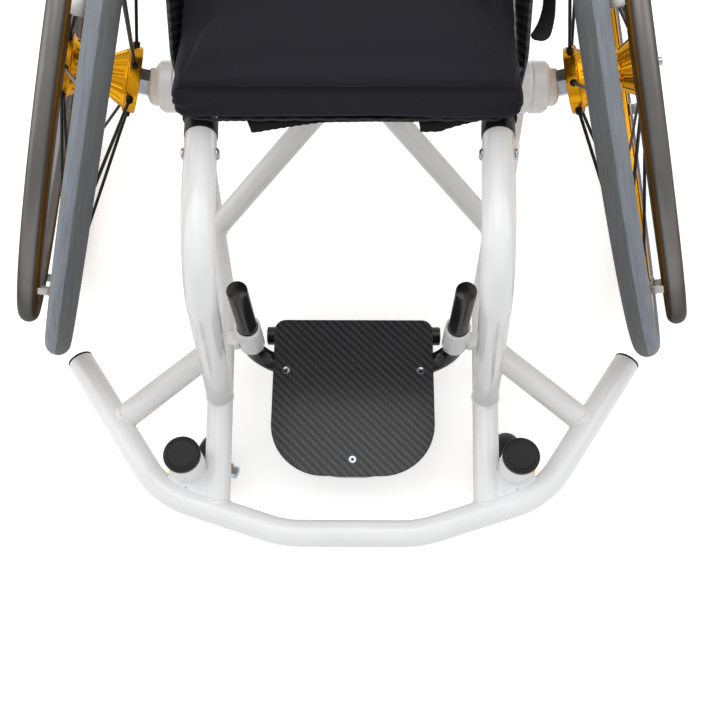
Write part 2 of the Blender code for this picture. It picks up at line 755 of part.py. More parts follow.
def spoke_ends(start_angle, offset, reach):
    """End points of one flange's spokes, which lean in to the rim's middle plane."""
    end_radius = RIM_INNER_RADIUS - GAP * 3
    ends = []
    for index in range(SPOKES_PER_FLANGE):
        angle = start_angle + math.tau * index / SPOKES_PER_FLANGE
        along = Vector((math.cos(angle), math.sin(angle), 0.0))
        root = along * SPOKE_ROOT + Vector((0.0, 0.0, offset))
        rim = along * end_radius
        ends.append((root, root.lerp(rim, reach)))
    return ends


def make_hub(name):
    wheel = WHEELS[name]
    first = SPOKE_ANGLES[name]
    second = first + math.pi / SPOKES_PER_FLANGE
    inner_offset = HUB_FACE_IN + FLANGE_WIDTH / 2
    outer_offset = HUB_FACE_OUT - FLANGE_WIDTH_OUT / 2
    piece = turned("hub_" + name, hub_profile(), HUB_STEPS, "gold_anodised", wheel)
    middle = (WAIST[0] + WAIST[1]) / 2
    inner = groove_ends(first, HUB_FACE_IN + FLANGE_WIDTH + FLANGE_BEVEL, middle - FLANGE_BEVEL)
    outer = groove_ends(second, middle + FLANGE_BEVEL, HUB_FACE_OUT - FLANGE_WIDTH_OUT - FLANGE_BEVEL)
    cut(piece, rods(f"hub_{name}_grooves", inner + outer, GROOVE_RADIUS, GROOVE_SIDES, None, wheel))
    spokes = spoke_ends(first, inner_offset, 1.0) + spoke_ends(second, outer_offset, 1.0)
    fuse(piece, rods(f"hub_{name}_spokes", spokes, SPOKE_RADIUS, SPOKE_SIDES, None, wheel))


def make_hub_bearing(name):
    outer = HUB_FACE_IN + BEARING_WIDTH
    inner_radius = AXLE_RADIUS + AXLE_CLEARANCE
    profile = [(inner_radius, outer), (BEARING_RADIUS, outer), (BEARING_RADIUS, HUB_FACE_IN), (inner_radius, HUB_FACE_IN)]
    turned("hub_bearing_" + name, profile, CASTER_STEPS, "silver_steel", WHEELS[name])


def make_wheel(name):
    make_tyre(name)
    make_rim(name)
    make_handrim(name)
    make_hub(name)
    make_hub_bearing(name)
    make_pin(name)
    make_button(name)


def web_to(form, start, end):
    """A flat gusset between two points in the level of the lower frame."""
    start = Vector(start)
    along = Vector(end) - start
    turn = Matrix.Rotation(math.atan2(along.y, along.x), 4, "Z")
    add_box(form, (along.length, WEB_WIDTH, WEB_THICKNESS), start + along / 2, turn)


def make_barrel(name, side, rail, bumper):
    """Upright tube for the fork's stem, in the corner between the rail and the bumper, with gussets to both."""
    centre = Vector((side * CASTER_X, CASTER_Y, 0.0))
    profile = [
        (STEM_RADIUS + GAP, BARREL_HIGH),
        (BARREL_RADIUS, BARREL_HIGH),
        (BARREL_RADIUS, BARREL_LOW),
        (STEM_RADIUS + GAP, BARREL_LOW),
    ]
    piece = turned("caster_barrel_" + name, profile, CASTER_STEPS, "white_paint", CHAIR, Matrix.Translation(centre))
    middle = centre + Vector((0.0, 0.0, FRAME_Z))
    outward = Vector((side * (BUMPER_SHOULDER[0] - CASTER_X), BUMPER_SHOULDER[1] - CASTER_Y, 0.0)).normalized()
    start = middle + outward * (STEM_RADIUS + SLEEVE_WALL)
    joint = Vector(rail.points[0])
    inward = (joint - middle).normalized() * (STEM_RADIUS + SLEEVE_WALL)
    for word, low, high in (("side", start, nearest_point(bumper, middle)), ("corner", middle + inward, joint)):
        form = bmesh.new()
        web_to(form, low, high)
        fuse(piece, from_form(f"caster_barrel_{name}_{word}", form, None, CHAIR))
    cope(piece, bumper, rail)


def nearest_point(run, place):
    """The point of a run's centre line that is nearest to a place."""
    best = None
    for first, second in zip(run.points, run.points[1:]):
        along = second - first
        share = min(1.0, max(0.0, (place - first).dot(along) / along.length_squared))
        point = first + along * share
        if best is None or (point - place).length < (best - place).length:
            best = point
    return best


def make_caster_cap(name, side):
    """Round cap over the barrel with a spigot in its bore."""
    low = BARREL_HIGH + GAP
    high = low + CAP_HEIGHT
    profile = [
        (0.0, high),
        (CAP_RADIUS - CAP_EDGE * 2, high),
        (CAP_RADIUS - CAP_EDGE * 0.6, high - CAP_EDGE * 0.6),
        (CAP_RADIUS, high - CAP_EDGE * 2),
        (CAP_RADIUS, low),
        (STEM_RADIUS, low),
        (STEM_RADIUS, BARREL_HIGH - CAP_SPIGOT),
        (0.0, BARREL_HIGH - CAP_SPIGOT),
    ]
    turn = Matrix.Translation((side * CASTER_X, CASTER_Y, 0.0))
    turned("caster_cap_" + name, profile, CASTER_STEPS, "black_plastic", CHAIR, turn, closed=False)


def leg_outline(trail, axle_z, crown_low, crown_high):
    """Side view of a fork leg: a rounded foot round the axle, widening up to the crown."""
    foot = [
        (trail + LEG_END_RADIUS * math.cos(angle), axle_z + LEG_END_RADIUS * math.sin(angle))
        for angle in (math.radians(degree) for degree in range(-190, 21, 30))
    ]
    rear = max(trail * 0.75, LEG_END_RADIUS)
    top = [(rear, crown_low), (rear - PAST / 4, crown_high), (-CROWN_OVERHANG + PAST, crown_high), (-CROWN_OVERHANG, crown_low)]
    return foot + top


def make_fork(name, parent, trail, radius, inner, barrel_low, crown, leg, stem, stem_top, finish):
    """Crown, two legs and the stem that turns in the barrel, as one forging."""
    crown_high = barrel_low - GAP
    crown_low = crown_high - crown
    half = inner + leg
    rear = max(trail * 0.75, LEG_END_RADIUS) - PAST / 4
    front = -CROWN_OVERHANG + PAST
    form = bmesh.new()
    add_box(form, (half * 2 - GAP * 2, rear - front, crown), (0.0, (rear + front) / 2, (crown_low + crown_high) / 2 - GAP))
    piece = from_form(name, form, finish, parent)
    outline = leg_outline(trail, radius, crown_low, crown_high)
    upright = Matrix(((0, 0, 1, 0), (1, 0, 0, 0), (0, 1, 0, 0), (0, 0, 0, 1)))
    for side, word in ((-1, "a"), (1, "b")):
        turn = Matrix.Translation((side * (inner + leg / 2), 0.0, 0.0)) @ upright
        fuse(piece, plate(f"{name}_leg_{word}", outline, leg, None, turn, parent))
    stem_ends = [((0.0, 0.0, crown_high - crown / 2), (0.0, 0.0, stem_top))]
    fuse(piece, rods(name + "_stem", stem_ends, stem, THIN_SIDES, None, parent))
    hole = [((-half - PAST, trail, radius), (half + PAST, trail, radius))]
    cut(piece, rods(name + "_hole", hole, CASTER_AXLE_RADIUS + GAP, THIN_SIDES, None, parent))
    return half


def make_caster_axle(name, fork, place, half):
    """Bolt through the fork's legs with a hexagon head at each end."""
    turn = Matrix.Translation(place)
    reach = half + GAP + CASTER_NUT_LENGTH
    ends = [((-reach, 0.0, 0.0), (reach, 0.0, 0.0))]
    piece = rods(name, ends, CASTER_AXLE_RADIUS, THIN_SIDES, "silver_steel", fork, turn)
    heads = [((side * (half + GAP), 0.0, 0.0), (side * (reach - GAP), 0.0, 0.0)) for side in (-1, 1)]
    fuse(piece, rods(name + "_heads", heads, CASTER_NUT_RADIUS, 6, None, fork, turn))


def make_caster_wheel(name, parent, radius, width, finish):
    half = width / 2
    bore_radius = CASTER_AXLE_RADIUS + GAP
    profile = [
        (bore_radius, half),
        (radius - WHEEL_EDGE, half),
        (radius - WHEEL_EDGE * 0.3, half - WHEEL_EDGE * 0.3),
        (radius, half - WHEEL_EDGE),
        (radius, WHEEL_EDGE - half),
        (radius - WHEEL_EDGE * 0.3, WHEEL_EDGE * 0.3 - half),
        (radius - WHEEL_EDGE, -half),
        (bore_radius, -half),
    ]
    turn = Matrix.Rotation(math.pi / 2, 4, "Y")
    turned(name, profile, CASTER_STEPS, finish, parent, turn)


def make_caster(name, side):
    turn = Matrix.Rotation(CASTER_TURN[name], 4, "Z")
    swivel = new_empty("caster_swivel_" + name, (side * CASTER_X, CASTER_Y, 0.0), turn, CHAIR)
    axle = (0.0, CASTER_TRAIL, CASTER_RADIUS)
    roll = new_empty("caster_roll_" + name, axle, None, swivel)
    stem_top = BARREL_HIGH - CAP_SPIGOT - GAP
    half = make_fork(
        "caster_fork_" + name, swivel, CASTER_TRAIL, CASTER_RADIUS, CASTER_WIDTH / 2 + CASTER_SIDE_GAP, BARREL_LOW,
        CROWN_THICKNESS, CASTER_LEG_THICKNESS, STEM_RADIUS, stem_top, "gold_anodised",
    )
    make_caster_wheel("caster_wheel_" + name, roll, CASTER_RADIUS, CASTER_WIDTH, "caster_tyre")
    make_caster_axle("caster_axle_" + name, swivel, axle, half)


def make_anti_tip(rails):
    """Cross tube, arm and barrel behind the axle, with a small caster that runs just clear of the floor."""
    ends = [at_height(rails[side], side, 1, CROSS_TUBE_Y) for side in (-1, 1)]
    cross = straight_run(*ends, BRACE_RADIUS)
    cope(tube("rear_cross_tube", cross, "white_paint"), rails[-1], rails[1])
    profile = [
        (ANTI_TIP_STEM_RADIUS + GAP, ANTI_TIP_BARREL_HIGH),
        (ANTI_TIP_BARREL_RADIUS, ANTI_TIP_BARREL_HIGH),
        (ANTI_TIP_BARREL_RADIUS, ANTI_TIP_BARREL_LOW),
        (ANTI_TIP_STEM_RADIUS + GAP, ANTI_TIP_BARREL_LOW),
    ]
    turn = Matrix.Translation((0.0, ANTI_TIP_Y, 0.0))
    piece = turned("anti_tip_arm", profile, CASTER_STEPS, "white_paint", CHAIR, turn)
    arm_end = ANTI_TIP_Y - (ANTI_TIP_STEM_RADIUS + ANTI_TIP_BARREL_RADIUS) / 2
    arm = straight_run((0.0, CROSS_TUBE_Y, FRAME_Z), (0.0, arm_end, FRAME_Z), ANTI_TIP_ARM_RADIUS, THIN_SIDES)
    fuse(piece, tube("anti_tip_arm_bar", arm, None))
    cope(piece, cross)
    axle = (0.0, ANTI_TIP_TRAIL, ANTI_TIP_RADIUS + ANTI_TIP_FLOOR_GAP)
    swivel = new_empty("anti_tip_swivel", (0.0, ANTI_TIP_Y, 0.0), None, CHAIR)
    roll = new_empty("anti_tip_roll", axle, None, swivel)
    half = make_fork(
        "anti_tip_fork", swivel, ANTI_TIP_TRAIL, axle[2], ANTI_TIP_WIDTH / 2 + ANTI_TIP_SIDE_GAP, ANTI_TIP_BARREL_LOW,
        ANTI_TIP_CROWN, ANTI_TIP_LEG_THICKNESS, ANTI_TIP_STEM_RADIUS, ANTI_TIP_BARREL_HIGH - GAP, "black_tube",
    )
    make_caster_wheel("anti_tip_wheel", roll, ANTI_TIP_RADIUS, ANTI_TIP_WIDTH, "caster_tyre")
    make_caster_axle("anti_tip_axle", swivel, axle, half)


def make_seat_rail(name, side, rail):
    run = seat_rail_run(side)
    cope(tube("seat_rail_" + name, run, "black_tube"), rail)


def seat_rail_run(side):
    """From its plug inside the main tube back to the rear upright."""
    meet_y = upright_point(side, seat_point(side, RAIL_REAR[1]).z).y
    return straight_run(seat_point(side, SEAT_FRONT[1] - PLUG_DEPTH), seat_point(side, meet_y), SEAT_RAIL_RADIUS)


def post_run(side):
    return straight_run(upright_point(side, UPRIGHT_TOP_Z - POST_PLUG), upright_point(side, POST_TOP_Z), SEAT_RAIL_RADIUS)


def make_back_bar():
    """Stiffening bar behind the upholstery, bent back clear of it."""
    corners = []
    for side, x in ((-1, None), (-1, BACK_BAR_CORNER_X), (1, BACK_BAR_CORNER_X), (1, None)):
        point = upright_point(side, BACK_BAR_Z)
        if x:
            point = Vector((side * x, point.y + BACK_BAR_SET_BACK, point.z))
        corners.append(point)
    run = Run(rounded(corners, (BACK_BAR_BEND, BACK_BAR_BEND)), BACK_BAR_RADIUS, THIN_SIDES)
    cope(tube("backrest_bar", run, "black_tube"), post_run(-1), post_run(1))


def sheet_section(left, right, facing, radius, sag):
    """Points of a cloth sheet across two bars: round the first bar, a sagging span, and round the second."""
    wrap = [SHEET_WRAP * (1 - step / SHEET_WRAP_STEPS) for step in range(SHEET_WRAP_STEPS + 1)]
    outward = (right - left).normalized()
    first = [left + radius * (facing * math.cos(a) - outward * math.sin(a)) for a in wrap]
    last = [right + radius * (facing * math.cos(a) + outward * math.sin(a)) for a in reversed(wrap)]
    span = []
    for step in range(1, SHEET_SPAN_STEPS):
        share = step / SHEET_SPAN_STEPS
        drop = sag * 4 * share * (1 - share)
        span.append(left.lerp(right, share) + facing * (radius - drop))
    return first + span + last


def make_sheet(name, stations, facing, sag, thickness):
    """A cloth sheet through cross-sections at several pairs of bar points, thickened away from the bars."""
    form = bmesh.new()
    rows = []
    for left, right in stations:
        rows.append([form.verts.new(point) for point in sheet_section(left, right, facing, SHEET_RADIUS, sag)])
    for row, following in zip(rows, rows[1:]):
        for index in range(len(row) - 1):
            form.faces.new((row[index], row[index + 1], following[index + 1], following[index]))
    bmesh.ops.recalc_face_normals(form, faces=form.faces)
    middle = form.faces[len(rows[0]) // 2]
    if middle.normal.dot(facing) < 0:
        bmesh.ops.reverse_faces(form, faces=form.faces)
    piece = from_form(name, form, "seat_cloth", CHAIR)
    shell = piece.modifiers.new("cloth", "SOLIDIFY")
    shell.thickness = thickness
    shell.offset = 1.0
    return piece


def make_sling():
    stations = [(seat_point(-1, y), seat_point(1, y)) for y in (SLING_FRONT_Y, (SLING_FRONT_Y + SLING_REAR_Y) / 2, SLING_REAR_Y)]
    facing = Vector((0.0, SEAT_DUMP, 1.0)).normalized()
    piece = make_sheet("seat_sling", stations, facing, SLING_SAG, SLING_THICKNESS)
    for side, word in ((-1, "left"), (1, "right")):
        bosses = rods(f"seat_sling_holes_{word}", guard_bosses(side), GUARD_BOSS_RADIUS + GAP, THIN_SIDES, None, CHAIR)
        cut(piece, bosses)


def make_backrest():
    heights = [BACK_LOW_Z + (BACK_HIGH_Z - BACK_LOW_Z) * step / 3 for step in range(4)]
    stations = [(upright_point(-1, z), upright_point(1, z)) for z in heights]
    facing = Vector((0.0, -math.cos(LEAN), math.sin(LEAN)))
    make_sheet("backrest_upholstery", stations, facing, BACK_SAG, BACK_THICKNESS)


def cushion_half_width(y):
    """Half width along the cushion, which narrows a little towards its front."""
    share = min(1.0, max(0.0, (y - CUSHION_FRONT_Y) / (CUSHION_TAPER_Y - CUSHION_FRONT_Y)))
    return CUSHION_FRONT_HALF_WIDTH + (CUSHION_HALF_WIDTH - CUSHION_FRONT_HALF_WIDTH) * share


def cushion_point(across, along, layer):
    """A point of the cushion from three shares: -1 to 1 across and along, 0 to 1 from the base to the top."""
    ring = max(abs(across), abs(along))
    edge = math.sqrt(max(0.0, 1 - max(0.0, (ring - 0.86) / 0.14) ** 2))
    bulge = 1 - (2 * layer - 1) ** 2
    corner = (across * along) ** 4
    pull_x = CUSHION_PULL * (1 - along ** 4) * (1 - corner)
    pull_y = CUSHION_PULL * (1 - across ** 4) * (1 - corner)
    middle_y = (CUSHION_FRONT_Y + CUSHION_REAR_Y) / 2
    half_y = (CUSHION_REAR_Y - CUSHION_FRONT_Y) / 2
    inset = CUSHION_EDGE * (1 - bulge) ** 2 * (0.35 if layer < 0.5 else 1.0)
    y = middle_y + along * (half_y - pull_y - inset)
    x = across * (cushion_half_width(y) - pull_x - inset)
    rise = CUSHION_CROWN * (1 - across ** 2) * (1 - along ** 2)
    top_drop = CUSHION_EDGE * 0.5 * (1 - edge)
    height = layer * (CUSHION_THICKNESS + rise - top_drop)
    return Vector((x, y, seat_point(1, y).z + CUSHION_BASE + height))


def make_cushion():
    """Crowned pad with rounded edges whose sides are drawn in between the corners."""
    form = bmesh.new()
    add_box(form, (2, 2, 2), (0, 0, 0))
    counts = (CUSHION_COLUMNS, CUSHION_ROWS, CUSHION_LAYERS)
    for axis, count in enumerate(counts):
        for step in range(1, count):
            place = Vector((0.0, 0.0, 0.0))
            place[axis] = 2 * step / count - 1
            normal = Vector((0.0, 0.0, 0.0))
            normal[axis] = 1.0
            everything = list(form.verts) + list(form.edges) + list(form.faces)
            bmesh.ops.bisect_plane(form, geom=everything, plane_co=place, plane_no=normal)
    for vert in form.verts:
        across, along, up = vert.co
        vert.co = cushion_point(across, along, (up + 1) / 2)
    from_form("seat_cushion", form, "seat_cloth", CHAIR)


def guard_plane_x(y):
    """Distance of the guard's middle plane from the chair's middle, along the seat rail."""
    return seat_point(1, y).x + SEAT_RAIL_RADIUS + GUARD_STAND_OFF + GUARD_THICKNESS / 2


def guard_bosses(side):
    ends = []
    for y in GUARD_BOSS_Y:
        rail = seat_point(side, y)
        ends.append((rail, Vector((side * guard_plane_x(y), y, rail.z))))
    return ends


def make_guard(name, side):
    """Thin panel between the seat and the wheel, on two bosses of the seat rail."""
    lower = [
        (y, seat_point(1, y).z - GUARD_BELOW_RAIL) for y in (GUARD_OUTLINE[-1][0], GUARD_OUTLINE[0][0])
    ]
    corners = [Vector((y, z, 0.0)) for y, z in (*GUARD_OUTLINE, *lower)]
    outline = rounded(corners, (*GUARD_CORNERS, GUARD_LOWER_CORNER, GUARD_LOWER_CORNER), closed=True)
    along = Vector((side * SEAT_SPREAD, 1.0, 0.0))
    turn = Matrix.Identity(4)
    turn.col[0] = (*along, 0.0)
    turn.col[1] = (0.0, 0.0, 1.0, 0.0)
    turn.col[2] = (*along.cross(Vector((0.0, 0.0, 1.0))).normalized(), 0.0)
    turn.translation = (side * guard_plane_x(0.0), 0.0, 0.0)
    piece = plate("side_guard_" + name, outline, GUARD_THICKNESS, "carbon", turn)
    fuse(piece, rods(f"side_guard_{name}_bosses", guard_bosses(side), GUARD_BOSS_RADIUS, THIN_SIDES, None, CHAIR))
    cope(piece, seat_rail_run(side))


def make_foot_sleeve(name, side, rail):
    """Socket for the footrest post, with a lug welded to the rail."""
    profile = [
        (POST_RADIUS + GAP, FOOT_SLEEVE_HIGH),
        (POST_RADIUS + SLEEVE_WALL, FOOT_SLEEVE_HIGH),
        (POST_RADIUS + SLEEVE_WALL, FOOT_SLEEVE_LOW),
        (POST_RADIUS + GAP, FOOT_SLEEVE_LOW),
    ]
    centre = Vector((side * POST_X, POST_Y, 0.0))
    piece = turned("foot_sleeve_" + name, profile, CASTER_STEPS, "white_paint", CHAIR, Matrix.Translation(centre))
    rail_x = abs(at_height(rail, side, 1, POST_Y)[0])
    start = POST_X + POST_RADIUS + SLEEVE_WALL / 2
    form = bmesh.new()
    low = FOOT_SLEEVE_LOW + GAP
    middle = (side * (start + rail_x) / 2, POST_Y, low + LUG_HEIGHT / 2)
    add_box(form, (rail_x - start, LUG_WIDTH, LUG_HEIGHT), middle)
    fuse(piece, from_form(f"foot_sleeve_{name}_lug", form, None, CHAIR))
    cope(piece, rail)


def make_footrest():
    """Two posts in the sleeves, joined by a hoop that carries the plate and the heel bar."""
    left = [(-POST_X, POST_Y, POST_TOP), (-POST_X, POST_Y, HOOP_Z), (-HOOP_SIDE[0], HOOP_SIDE[1], HOOP_Z)]
    left.append((-HOOP_FRONT[0], HOOP_FRONT[1], HOOP_Z))
    right = [(-x, y, z) for x, y, z in reversed(left)]
    bends = (HOOP_BEND, HOOP_SIDE_BEND, HOOP_FRONT_BEND)
    run = Run(rounded(left + right, (*bends, *reversed(bends))), POST_RADIUS, THIN_SIDES)
    tube("footrest_tube", run, "black_tube")
    bar_z = PLATE_LOW - GAP - HEEL_BAR_RADIUS
    ends = [(x, HEEL_BAR_Y, bar_z) for x in (-HEEL_BAR_HALF_LENGTH, HEEL_BAR_HALF_LENGTH)]
    tube("heel_bar", straight_run(*ends, HEEL_BAR_RADIUS, THIN_SIDES), "black_tube")
    corners = [
        (-PLATE_HALF_WIDTH, PLATE_REAR_Y),
        (-PLATE_HALF_WIDTH, PLATE_FRONT_Y),
        (PLATE_HALF_WIDTH, PLATE_FRONT_Y),
        (PLATE_HALF_WIDTH, PLATE_REAR_Y),
    ]
    radii = (PLATE_REAR_CORNER, PLATE_FRONT_CORNER, PLATE_FRONT_CORNER, PLATE_REAR_CORNER)
    turn = Matrix.Translation((0.0, 0.0, PLATE_LOW + PLATE_THICKNESS / 2))
    plate("footplate", rounded(corners, radii, closed=True), PLATE_THICKNESS, "carbon", turn)


def make_frame():
    bumper = bumper_run()
    make_bumper(bumper)
    rails = {side: rail_run(side, bumper) for _, side in SIDES}
    for name, side in SIDES:
        rail = rails[side]
        make_bumper_cap(name, side, bumper)
        make_rail(name, side, rail, bumper)
        make_main_tube(name, side, rail)
        make_wing_strut(name, side, rail, bumper)
        make_brace(name, side, rail)
        make_upright(name, side, rail)
        make_sleeve(name, side)
        make_barrel(name, side, rail, bumper)
        make_caster_cap(name, side)
        make_foot_sleeve(name, side, rail)
        make_seat_rail(name, side, rail)
        tube("backrest_post_" + name, post_run(side), "black_tube")
        make_guard(name, side)
    tube("camber_tube", camber_run(), "white_paint")
    make_anti_tip(rails)
    make_back_bar()


def main():
    make_frame()
    make_sling()
    make_cushion()
    make_backrest()
    make_footrest()
    for name, side in SIDES:
        make_wheel(name)
        make_caster(name, side)


clear_scene()
PARTS = new_collection("wheelchair")
CUTTERS = new_collection("cutters")
CHAIR = new_empty("chair", (0.0, AXLE_Y, 0.0))
WHEELS = {
    name: new_empty(
        "wheel_" + name,
        (side * WHEEL_X, 0.0, WHEEL_Z),
        Matrix.Rotation(side * (math.pi / 2 - CAMBER), 4, "Y"),
        CHAIR,
    )
    for name, side in SIDES
}
main()
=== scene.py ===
"""Looks of the court wheelchair: smooth tubes with welds, lathed wheels, cloth and finishes, camera, light and floor.

Places are written as in the part's source: from the axle line of the drive wheels, in metres.
"""

import math
from math import cos, radians, sin, tau

import bmesh
import bpy
from mathutils import Matrix, Vector, noise


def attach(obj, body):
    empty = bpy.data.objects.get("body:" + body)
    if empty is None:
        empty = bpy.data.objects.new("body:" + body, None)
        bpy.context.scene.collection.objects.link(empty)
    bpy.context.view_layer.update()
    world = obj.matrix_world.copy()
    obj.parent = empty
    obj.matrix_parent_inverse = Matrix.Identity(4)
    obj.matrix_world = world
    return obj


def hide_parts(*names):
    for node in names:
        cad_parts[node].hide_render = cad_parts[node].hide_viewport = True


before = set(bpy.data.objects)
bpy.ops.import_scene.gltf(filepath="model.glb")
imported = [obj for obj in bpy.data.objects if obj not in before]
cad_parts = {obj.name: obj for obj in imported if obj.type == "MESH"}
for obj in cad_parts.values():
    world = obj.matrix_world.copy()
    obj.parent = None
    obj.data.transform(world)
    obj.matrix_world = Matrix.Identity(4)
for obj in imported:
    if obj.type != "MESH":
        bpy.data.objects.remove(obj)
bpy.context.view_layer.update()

# Sizes repeated from the part's source
GAP = 0.0003
WHEEL_RADIUS = 0.305
TYRE_RADIUS = 0.013
CAMBER = radians(20.0)
TYRE_TOP_X = 0.17413
TYRE_SEAT_HALF_WIDTH = 0.0077
RIM_DEPTH = 0.0232
RIM_HALF_WIDTH = 0.010
RIM_CHAMFER = 0.005
RIM_INNER_HALF_WIDTH = 0.007
HANDRIM_DROP = 0.0172
HANDRIM_TUBE = 0.0102
HANDRIM_OFFSET = 0.033
TAB_COUNT = 6
TAB_DROP = 0.014
TAB_ANGLES = {"left": radians(32.0), "right": radians(26.5)}
HUB_FACE_IN = -0.045
HUB_FACE_OUT = 0.037
FLANGE_RADIUS = 0.035
FLANGE_WIDTH = 0.013
FLANGE_RADIUS_OUT = 0.034
FLANGE_WIDTH_OUT = 0.012
NECK_RADIUS = 0.0315
WAIST_RADIUS = 0.019
WAIST = (-0.010, 0.005)
SPOKES_PER_FLANGE = 6
SPOKE_RADIUS = 0.0018
SPOKE_ROOT = 0.030
SPOKE_ANGLES = {"left": radians(-13.0), "right": radians(162.0)}
AXLE_RADIUS = 0.00635
AXLE_CLEARANCE = 0.00035
BEARING_RADIUS = 0.014
BEARING_WIDTH = 0.008
PIN_END = -0.0742
NUT_RADIUS = 0.0148
NUT_LENGTH = 0.0115
CAMBER_TUBE_RADIUS = 0.019
CAMBER_TUBE_SET_BACK = 0.074
SLEEVE_SET_BACKS = (0.114, 0.0635, 0.0525)
SLEEVE_RADIUS = 0.0277
SLEEVE_SMALL_RADIUS = 0.0202
UPRIGHT_TOP_X = 0.177
BRACE_TOP_X = 0.015
BRACE_FOOT_Y = -0.087
BRACE_RADIUS = 0.0127
FRAME_RADIUS = 0.0143
FRAME_Z = 0.100
BUMPER_END = (0.3131, -0.2571)
BUMPER_SHOULDER = (0.2073, -0.4118)
BUMPER_NOSE = (0.072, -0.455)
SHOULDER_BEND = 0.100
NOSE_BEND = 0.120
CAP_THICKNESS = 0.0025
RAIL_FRONT_X = 0.1455
RAIL_KNEE = (0.1535, -0.178)
RAIL_HIP = (0.196, 0.042)
RAIL_REAR = (0.178, 0.170)
KNEE_BEND = 0.150
HIP_BEND = 0.120
REAR_BEND = 0.060
STRUT_RAIL_Y = -0.2345
STRUT_BUMPER_X = 0.2621
CROSS_TUBE_Y = 0.115
SEAT_FRONT = (0.1297, -0.167, 0.4085)
SEAT_SPREAD = 0.055
SEAT_DUMP = 0.100
MAIN_CORNER_Y = -0.306
MAIN_FOOT_Y = -0.302
MAIN_BEND = 0.065
SEAT_RAIL_RADIUS = 0.0127
PLUG_DEPTH = 0.055
LEAN = radians(8.0)
UPRIGHT_BEND_Z = 0.360
UPRIGHT_BEND = 0.080
UPRIGHT_TOP_Z = 0.430
POST_TOP_Z = 0.715
POST_PLUG = 0.048
BACK_BAR_Z = 0.600
BACK_BAR_RADIUS = 0.0095
BACK_BAR_SET_BACK = 0.050
BACK_BAR_CORNER_X = 0.100
BACK_BAR_BEND = 0.040
BACK_LOW_Z = 0.500
BACK_HIGH_Z = 0.702
BACK_SAG = 0.022
BACK_THICKNESS = 0.0045
SLING_FRONT_Y = -0.150
SLING_REAR_Y = 0.150
SLING_SAG = 0.006
SLING_THICKNESS = 0.0025
SHEET_WRAP = radians(130.0)
SHEET_RADIUS = (SEAT_RAIL_RADIUS + GAP) / cos(radians(13.0))
CUSHION_FRONT_Y = -0.167
CUSHION_REAR_Y = 0.146
CUSHION_HALF_WIDTH = 0.149
CUSHION_TAPER_Y = -0.080
CUSHION_THICKNESS = 0.046
CUSHION_CROWN = 0.007
CUSHION_PULL = 0.003
CUSHION_EDGE = 0.007
CUSHION_BASE = (SHEET_RADIUS + SLING_THICKNESS) * math.hypot(1.0, SEAT_DUMP) + GAP
GUARD_STAND_OFF = 0.004
GUARD_THICKNESS = 0.003
GUARD_BELOW_RAIL = 0.006
GUARD_OUTLINE = ((-0.122, 0.452), (-0.080, 0.478), (-0.015, 0.530), (0.070, 0.545), (0.150, 0.495))
GUARD_CORNERS = (0.016, 0.060, 0.050, 0.050, 0.020)
GUARD_LOWER_CORNER = 0.010
GUARD_BOSS_RADIUS = 0.008
GUARD_BOSS_Y = (-0.095, 0.095)
CASTER_X = 0.1768
CASTER_Y = -0.3842
CASTER_TURN = {"left": radians(-20.0), "right": radians(-3.0)}
BARREL_RADIUS = 0.0185
BARREL_LOW = 0.083
BARREL_HIGH = 0.150
CAP_RADIUS = 0.0195
CAP_HEIGHT = 0.0082
WEB_THICKNESS = 0.020
WEB_WIDTH = 0.024
CASTER_RADIUS = 0.0355
CASTER_WIDTH = 0.026
CASTER_TRAIL = 0.0255
CASTER_SIDE_GAP = 0.006
CASTER_AXLE_RADIUS = 0.004
ANTI_TIP_Y = 0.285
ANTI_TIP_ARM_RADIUS = 0.0111
ANTI_TIP_BARREL_RADIUS = 0.015
ANTI_TIP_BARREL_LOW = 0.0795
ANTI_TIP_BARREL_HIGH = 0.118
ANTI_TIP_RADIUS = 0.031
ANTI_TIP_WIDTH = 0.020
ANTI_TIP_TRAIL = 0.018
ANTI_TIP_FLOOR_GAP = 0.008
POST_X = 0.1175
POST_Y = -0.233
POST_TOP = 0.235
POST_RADIUS = 0.0111
SLEEVE_WALL = 0.0036
FOOT_SLEEVE_LOW = 0.095
FOOT_SLEEVE_HIGH = 0.143
LUG_HEIGHT = 0.017
LUG_WIDTH = 0.018
HOOP_Z = 0.060
HOOP_BEND = 0.025
HOOP_SIDE = (0.072, -0.252)
HOOP_SIDE_BEND = 0.028
HOOP_FRONT = (0.050, -0.372)
HOOP_FRONT_BEND = 0.045
HEEL_BAR_Y = -0.208
HEEL_BAR_HALF_LENGTH = 0.104
HEEL_BAR_RADIUS = 0.0111
PLATE_THICKNESS = 0.003
PLATE_HALF_WIDTH = 0.0942
PLATE_REAR_Y = -0.193
PLATE_FRONT_Y = -0.385
PLATE_REAR_CORNER = 0.013
PLATE_FRONT_CORNER = 0.062
AXLE_Y = 0.06765

TYRE_RING = WHEEL_RADIUS - TYRE_RADIUS
WHEEL_X = TYRE_TOP_X + TYRE_RING * sin(CAMBER)
WHEEL_Z = TYRE_RING * cos(CAMBER) + TYRE_RADIUS
RIM_RADIUS = TYRE_RING - math.sqrt(TYRE_RADIUS ** 2 - TYRE_SEAT_HALF_WIDTH ** 2) - GAP
RIM_INNER_RADIUS = RIM_RADIUS - RIM_DEPTH
HANDRIM_RADIUS = RIM_RADIUS - HANDRIM_DROP
TAB_RADIUS = RIM_RADIUS - TAB_DROP
CAMBER_TUBE_END = WHEEL_X - CAMBER_TUBE_SET_BACK
SLEEVE_START, SLEEVE_STEP, SLEEVE_END = (WHEEL_X - back for back in SLEEVE_SET_BACKS)
CAMBER_TUBE_Z = WHEEL_Z - (WHEEL_X - (CAMBER_TUBE_END + SLEEVE_STEP) / 2) * math.tan(CAMBER)
PLATE_LOW = HOOP_Z + POST_RADIUS + GAP

